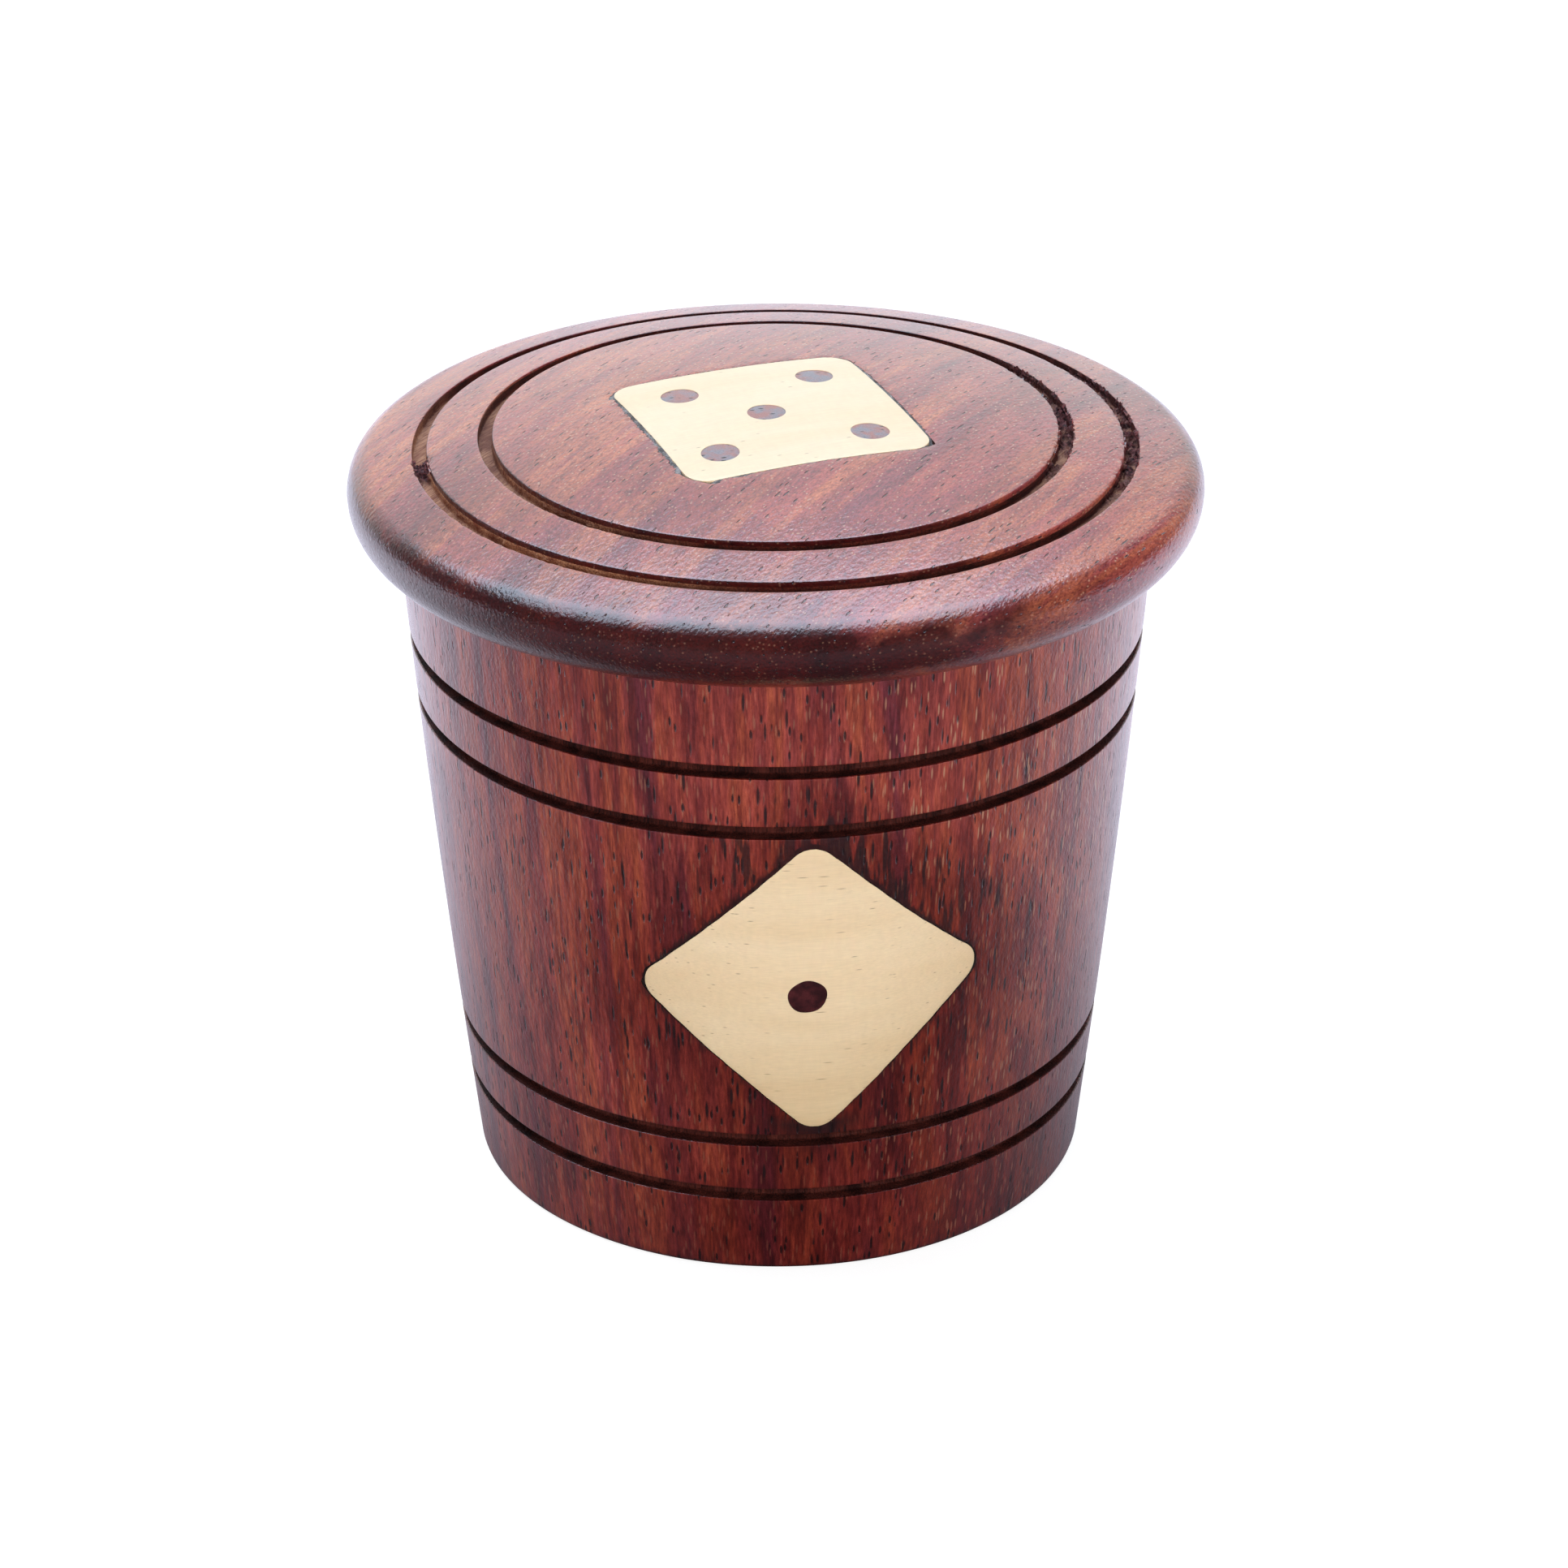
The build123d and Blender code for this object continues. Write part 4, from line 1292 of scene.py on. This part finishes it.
# its seam is nearly closed on the far and near sides, open on the right, wide and ragged on the
# left, and narrower at the corners, which are overcut in places
lid_places = lid_outline[2]
lid_sides = (np.floor(lid_places) % 4).astype(int)
from_corner = 0.5 - np.abs(lid_places % 1 - 0.5)
lid_seam = seam_width(
    lid_places,
    np.choose(lid_sides, [0.26, 0.09, 0.3, 0.09]) * np.clip(from_corner / 0.15, 0.3, 1),
    np.choose(lid_sides, [0.07, 0.03, 0.26, 0.05]),
    [
        (0.01, 0.6, 0.04),
        (3.04, 0.7, 0.04),
        (2.93, 0.5, 0.05),
        (3.16, 0.3, 0.07),
        (2.7, 0.35, 0.03),
        (2.45, 0.3, 0.02),
    ],
    rng,
)
turned_square = np.array(
    [[cos(lid_plate_turn), -sin(lid_plate_turn)], [sin(lid_plate_turn), cos(lid_plate_turn)]]
)
lid_plug_places = [
    np.array(lid_plate_centre) + turned_square @ (np.array(place) * plug_offset) + stray
    for place, stray in (
        ((0, 0), (-0.4, -0.5)),
        ((1, 1), (0.1, -0.1)),
        ((1, -1), (0.25, -0.4)),
        ((-1, 1), (0.5, 0.0)),
        ((-1, -1), (-0.5, -0.2)),
    )
]


def lid_filler_sink(vertices, rng):
    """Filler that has shrunk a little, and fallen out in places along the near edges."""
    lost = np.clip(np.sin(vertices[:, 0] * 1.9 + 0.6) * np.sin(vertices[:, 1] * 1.3) - 0.2, 0, 1)
    near = np.clip((-vertices[:, 1] - 2) / 6, 0, 1)
    return 0.05 + rng.uniform(0, 0.05, len(vertices)) + 0.6 * lost * near


def front_filler_sink(vertices, rng):
    """Filler that has shrunk a little."""
    return 0.05 + rng.uniform(0, 0.06, len(vertices))


lid_wood_mesh = inlay(
    names={
        "wood": "lid_disc",
        "plate": "maple_lid_plate",
        "filler": "lid_plate_seam_filler",
        "plug": "walnut_lid_plugs",
    },
    seat=(np.array([0, 0, lid_seat_height]), *np.eye(3)),
    rise=lambda points: crown_height(np.hypot(points[:, 0], points[:, 1])) - lid_seat_height,
    border=disc_radius * np.column_stack([np.cos(lid_angles), np.sin(lid_angles)]),
    outline=lid_outline,
    seam=lid_seam,
    filler_sink=lid_filler_sink,
    plugs=lid_plug_places,
    plug_outline=drilled,
    plug_floor=lid_plate_thickness - plug_depth,
    finishes={
        "wood": lid_wood,
        "raw": lid_cut,
        "plate": lid_maple,
        "filler": lid_filler,
        "plug": lid_plug_wood,
    },
    body="lid_body",
    nodes={"plate": "lid_plate", "filler": "lid_plate_filler", "plug": "lid_plate_plugs"},
    rng=rng,
)
lid_turned = turned("lid_turned", lid_section(), lid_columns, lid_wood, lid_cut, tear_reach=1.0)
piece("rosewood_lid", [lid_turned, lid_wood_mesh], "lid_body", "rosewood_lid", "lid")

# the cup's die face of one, in its own window of the wall
rng = np.random.default_rng(11)
cup_columns = 800
section = cup_section()
front_axes = (
    np.array([0, -front_seat_radius, plate_height]),
    np.array([1, 0, 0]),
    np.array([0, -sin(taper), cos(taper)]),
    np.array([0, -cos(taper), -sin(taper)]),
)


def front_rise(points, steps=12):
    """How far the wall stands above the front pocket's floor, found by stepping towards it."""
    origin, axis_x, axis_y, axis_n = front_axes
    flat = origin + points[:, :1] * axis_x + points[:, 1:] * axis_y
    height = np.full(len(points), front_wall - front_seat_radius)
    for _ in range(steps):
        at = flat + height[:, None] * axis_n
        miss = np.hypot(at[:, 0], at[:, 1]) - wall_radius(at[:, 2])
        slope = np.abs(at[:, 1]) / np.hypot(at[:, 0], at[:, 1])
        height = height - miss / slope
    return height


# the window's border runs through points of the turned wall, so that they weld
heights = sorted(
    z for r, z, _, _ in section if band_low + arris < z < band_high - arris and r > bore_radius + 0.5
)
low_z, high_z = heights[0], heights[-1]
window_columns = round(2 * front_half_angle / tau * cup_columns)
bearings = np.linspace(-front_half_angle, front_half_angle, window_columns + 1)
ring = (
    [(bearing, low_z) for bearing in bearings]
    + [(bearings[-1], z) for z in heights[1:-1]]
    + [(bearing, high_z) for bearing in bearings[::-1]]
    + [(bearings[0], z) for z in heights[-2:0:-1]]
)
on_wall = np.array([(wall_radius(z) * sin(b), -wall_radius(z) * cos(b), z) for b, z in ring])
from_seat = on_wall - front_axes[0]
front_outline = plate_outline(
    front_side,
    plate_corner,
    pi / 4 + front_plate_turn,
    (0, front_plate_rise),
    wobble=0.05,
    rng=rng,
)
front_seam = seam_width(
    front_outline[2],
    0.08 + 0.04 * np.cos(front_outline[2] * pi),
    0.05,
    [(2.01, 0.3, 0.022), (1.97, 0.15, 0.03), (3.98, 0.12, 0.06), (1.3, 0.1, 0.02), (2.6, 0.12, 0.02)],
    rng,
)
front_wood_mesh = inlay(
    names={
        "wood": "cup_window",
        "plate": "maple_front_plate",
        "filler": "front_plate_seam_filler",
        "plug": "walnut_front_plug",
    },
    seat=front_axes,
    rise=front_rise,
    border=np.column_stack([from_seat @ front_axes[1], from_seat @ front_axes[2]]),
    outline=front_outline,
    seam=front_seam,
    filler_sink=front_filler_sink,
    plugs=[np.array(front_plug_shift)],
    plug_outline=partial(drilled, uneven=0.06),
    plug_floor=front_wall - front_seat_radius - plug_depth,
    finishes={
        "wood": cup_wood,
        "raw": cup_cut,
        "plate": front_maple,
        "filler": front_filler,
        "plug": front_plug_wood,
    },
    body="cup_body",
    nodes={"plate": "front_plate", "filler": "front_plate_filler", "plug": "front_plate_plug"},
    rng=rng,
)
slack = 0.01  # so that the window's first and last rows are inside it
window = (low_z - slack, high_z + slack, front_half_angle)
cup_turned = turned(
    "cup_turned", section, cup_columns, cup_wood, cup_cut, tear_reach=0.0, window=window
)
piece("rosewood_cup", [cup_turned, front_wood_mesh], "cup_body", "rosewood_cup", "cup")

# ---------------------------------------------------------------- dice

die_edge_round = 0.8
spot_radius, spot_sink, spot_offset = 1.1, 0.5, 3.0
spot_ball = (spot_radius**2 + spot_sink**2) / (2 * spot_sink)  # the radius of the round drill
spot_rows = {
    1: [(0, 0)],
    2: [(-1, 1), (1, -1)],
    3: [(-1, 1), (0, 0), (1, -1)],
    4: [(-1, 1), (1, 1), (-1, -1), (1, -1)],
    5: [(-1, 1), (1, 1), (0, 0), (-1, -1), (1, -1)],
    6: [(-1, 1), (-1, 0), (-1, -1), (1, 1), (1, 0), (1, -1)],
}
# each face's turn from the top of the die, and the turn that brings it back up, in degrees;
# opposite faces add up to seven
face_turns = {
    1: (0, 0, 0),
    2: (90, 0, 0),
    3: (90, 0, 90),
    4: (90, 0, -90),
    5: (90, 0, 180),
    6: (180, 0, 0),
}
face_up = {
    1: (0, 0, 0),
    2: (-90, 0, 0),
    3: (0, -90, 0),
    4: (0, 90, 0),
    5: (90, 0, 0),
    6: (180, 0, 0),
}
# each die's upper face, its drift round the ring of five and its own turn, in degrees
dice_lie = [(5, 0, 12), (3, 2, 51), (6, -2, 77), (1, 1, 34), (4, -1, 63)]
ring_step = 360 / len(dice_lie)


def turned_by(angles):
    """A rotation from angles in degrees."""
    return Euler([radians(angle) for angle in angles]).to_matrix()


drilling = bpy.data.node_groups.new("drilling", "GeometryNodeTree")
put = partial(add, drilling)
for title, kind in (
    ("Blank", "NodeSocketGeometry"),
    ("Drill Points", "NodeSocketObject"),
    ("Drill Ball", "NodeSocketFloat"),
    ("Maple", "NodeSocketMaterial"),
    ("Spot Paint", "NodeSocketMaterial"),
):
    drilling.interface.new_socket(title, in_out="INPUT", socket_type=kind)
drilling.interface.new_socket("Die", in_out="OUTPUT", socket_type="NodeSocketGeometry")
given = put("NodeGroupInput", out=None).outputs
points = put("GeometryNodeObjectInfo", {"Object": given["Drill Points"]}, out="Geometry")
ball = put("GeometryNodeMeshUVSphere", {"Segments": 32, "Rings": 24, "Radius": given["Drill Ball"]})
drills = put("GeometryNodeInstanceOnPoints", {"Points": points, "Instance": ball})
drills = put("GeometryNodeRealizeInstances", {"Geometry": drills})
drills = put("GeometryNodeSetMaterial", {"Geometry": drills, "Material": given["Spot Paint"]})
blank = put("GeometryNodeSetMaterial", {"Geometry": given["Blank"], "Material": given["Maple"]})
die = put("GeometryNodeMeshBoolean", {"Mesh 1": blank, "Mesh 2": drills}, operation="DIFFERENCE")
die = put("GeometryNodeRealizeInstances", {"Geometry": die})
spots = put("GeometryNodeMaterialSelection", {"Material": given["Spot Paint"]})
die = put(
    "GeometryNodeSetMaterial", {"Geometry": die, "Selection": spots, "Material": given["Spot Paint"]}
)
put("NodeGroupOutput", {0: die}, out=None)

cube = bmesh.new()
bmesh.ops.create_cube(cube, size=die_size * MM)
bmesh.ops.bevel(
    cube,
    geom=cube.edges,
    offset=die_edge_round * MM,
    segments=5,
    profile=0.5,
    affect="EDGES",
    clamp_overlap=True,
)
blank_mesh = bpy.data.meshes.new("die_blank")
cube.to_mesh(blank_mesh)
cube.free()
drill_height = die_size / 2 + spot_ball - spot_sink
drill_places = [
    turned_by(face_turns[face]) @ Vector((x * spot_offset, y * spot_offset, drill_height)) * MM
    for face, places in spot_rows.items()
    for x, y in places
]
drill_points = placed_in_scene("drill_points", mesh_of("drill_points", drill_places, []))
die_mesh = grown(
    "die",
    blank_mesh,
    drilling,
    {
        "Drill Points": drill_points,
        "Drill Ball": spot_ball * MM,
        "Maple": dice_maple,
        "Spot Paint": spot_paint,
    },
)
bpy.data.objects.remove(drill_points)
for k, (face, drift, own_turn) in enumerate(dice_lie):
    node = f"die_{k + 1}"
    low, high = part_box(node)
    lie = turned_by((0, 0, own_turn + k * ring_step + drift)) @ turned_by(face_up[face])
    placed = die_mesh.copy()
    placed.transform(Matrix.Translation((low + high) / 2) @ lie.to_4x4())
    piece(f"maple_{node}", [placed], f"{node}_body", "maple_dice", node, sharp=30)

# ---------------------------------------------------------------- studio

# A pale table, white to the eye.  In reflections it is white behind the piece and dim in front
# of it, with a boundary that curves round the piece, and it pales again far off.
table_half, table_gap = 6.0, 0.02 * MM  # the gap keeps the table clear of the base
pale_strength = 0.84
corners = [(x * table_half, y * table_half, -table_gap) for x, y in ((-1, -1), (1, -1), (1, 1), (-1, 1))]
floor_mesh = mesh_of("floor", corners, [(0, 1, 2, 3)])
floor = placed_in_scene("floor", floor_mesh)
floor_paint, put, place = new_material("white_studio_floor_matt_paint")
sight = put("ShaderNodeLightPath", out=None).outputs
apart = put("ShaderNodeSeparateXYZ", {"Vector": place}, out=None).outputs
aside = put("ShaderNodeMath", {0: apart["X"]}, operation="ABSOLUTE")
depth = put("ShaderNodeMath", {0: aside, 1: 0.35, 2: apart["Y"]}, operation="MULTIPLY_ADD")
depth = put("ShaderNodeMath", {0: apart["X"], 1: 0.12, 2: depth}, operation="MULTIPLY_ADD")
behind = put("ShaderNodeMapRange", {"Value": depth, 1: -0.03, 2: 0.11, 3: 0.02, 4: 1.0})
afar = put("ShaderNodeVectorMath", {0: place}, out=1, operation="LENGTH")
afar = put("ShaderNodeMapRange", {"Value": afar, 1: 0.06, 2: 0.16, 3: 0.0, 4: 0.14})
behind = put("ShaderNodeMath", {0: behind, 1: afar}, operation="MAXIMUM")
mirrored = put("ShaderNodeMath", {0: sight["Is Glossy Ray"], 1: behind}, operation="MULTIPLY")
seen = put("ShaderNodeMath", {0: sight["Is Camera Ray"], 1: mirrored}, operation="MAXIMUM")
seen = put("ShaderNodeMath", {0: seen, 1: sight["Is Transmission Ray"]}, operation="MAXIMUM")
grey, pale = (
    put("ShaderNodeMix", {"Factor": factor, 6: linear(off), 7: linear(on)}, out=2, data_type="RGBA")
    for factor, off, on in (
        (seen, "#363232", "#9a9a9a"),
        (sight["Is Camera Ray"], "#efe8ff", "#ffffff"),
    )
)
matt = put("ShaderNodeBsdfDiffuse", {"Color": grey})
white = put("ShaderNodeEmission", {"Color": pale, "Strength": pale_strength})
lit = put("ShaderNodeAddShader", {0: matt, 1: white})
shown = put("ShaderNodeMixShader", {0: seen, 1: matt, 2: lit})
put("ShaderNodeOutputMaterial", {"Surface": shown}, out=None)
floor_mesh.materials.append(floor_paint)

# a white backdrop behind and to the sides, which falls off towards the camera in reflections
ambient_strength = 0.3
world = bpy.data.worlds.new("studio")
bpy.context.scene.world = world
world.use_nodes = True
world.node_tree.nodes.clear()
put = partial(add, world.node_tree)
sight = put("ShaderNodeLightPath", out=None).outputs
way = put("ShaderNodeSeparateXYZ", {"Vector": put("ShaderNodeTexCoord", out="Generated")}, out="Y")
behind = put("ShaderNodeMapRange", {"Value": way, 1: 0.5, 2: 0.9, 3: 0.06, 4: 1.05})
mirrored = put("ShaderNodeMath", {0: sight["Is Glossy Ray"], 1: behind}, operation="MULTIPLY")
white = put(
    "ShaderNodeMath", {0: sight["Is Camera Ray"], 1: sight["Is Transmission Ray"]}, operation="MAXIMUM"
)
white = put("ShaderNodeMath", {0: white, 1: mirrored}, operation="MAXIMUM")
seen = put("ShaderNodeMath", {0: white, 1: sight["Is Glossy Ray"]}, operation="MAXIMUM")
plain = put("ShaderNodeBackground", {"Color": linear("#f6f7ff"), "Strength": ambient_strength})
backdrop = put("ShaderNodeBackground", {"Color": linear("#ffffff"), "Strength": white})
shown = put("ShaderNodeMixShader", {0: seen, 1: plain, 2: backdrop})
put("ShaderNodeOutputWorld", {"Surface": shown}, out=None)

# A long softbox overhead, aimed straight down, and fill panels round it, aimed at the piece.
# Only the softbox is mirrored.  Each has its place, its two sides, its watts and its colour.
piece_middle = (0.0, 0.0, 0.04)
for name, place, sides, watts, colour, mirrored in (
    ("overhead_softbox", (-0.09, 0.23, 0.75), (0.98, 0.7), 8.4, "#d6e8ff", True),
    ("left_fill", (-0.55, -0.75, 0.2), (0.6, 0.4), 5.3, "#fffaf4", False),
    ("right_fill", (0.55, -0.75, 0.2), (0.6, 0.4), 5.3, "#fffaf4", False),
    ("back_fill", (0.0, 0.8, 0.2), (0.8, 0.4), 4.0, "#fffaf4", False),
):
    lamp = bpy.data.lights.new(name, "AREA")
    lamp.shape, lamp.energy, lamp.color = "RECTANGLE", watts, linear(colour)[:3]
    lamp.size, lamp.size_y = sides
    light = placed_in_scene(name, lamp)
    light.location = place
    target = (*place[:2], 0.0) if mirrored else piece_middle
    aim = Vector(target) - Vector(place)
    light.rotation_euler = aim.to_track_quat("-Z", "Y").to_euler()
    light.visible_glossy = mirrored

# ---------------------------------------------------------------- camera

# it stands off the axis by its swing round the piece, at eye height, and looks down by its pitch
stand_off, eye_height = 0.4586, 0.2649
swing, pitch, yaw, roll = radians(5.7), radians(26.45), radians(0.08), radians(0.27)
lens_view = bpy.data.cameras.new("camera")
lens_view.sensor_width = 36.0
lens_view.lens = 121.1
camera = placed_in_scene("camera", lens_view)
ahead = Vector((cos(pitch) * sin(yaw + swing), cos(pitch) * cos(yaw + swing), -sin(pitch)))
level = ahead.cross(Vector((0, 0, 1))).normalized()
down = ahead.cross(level)
right = cos(roll) * level + sin(roll) * down
low = -sin(roll) * level + cos(roll) * down
facing = Matrix((right, -low, -ahead)).transposed()
stand = Matrix.Translation((-sin(swing) * stand_off, -cos(swing) * stand_off, eye_height))
camera.matrix_world = stand @ facing.to_4x4()
bpy.context.scene.camera = camera
bpy.context.scene.view_settings.view_transform = "Standard"
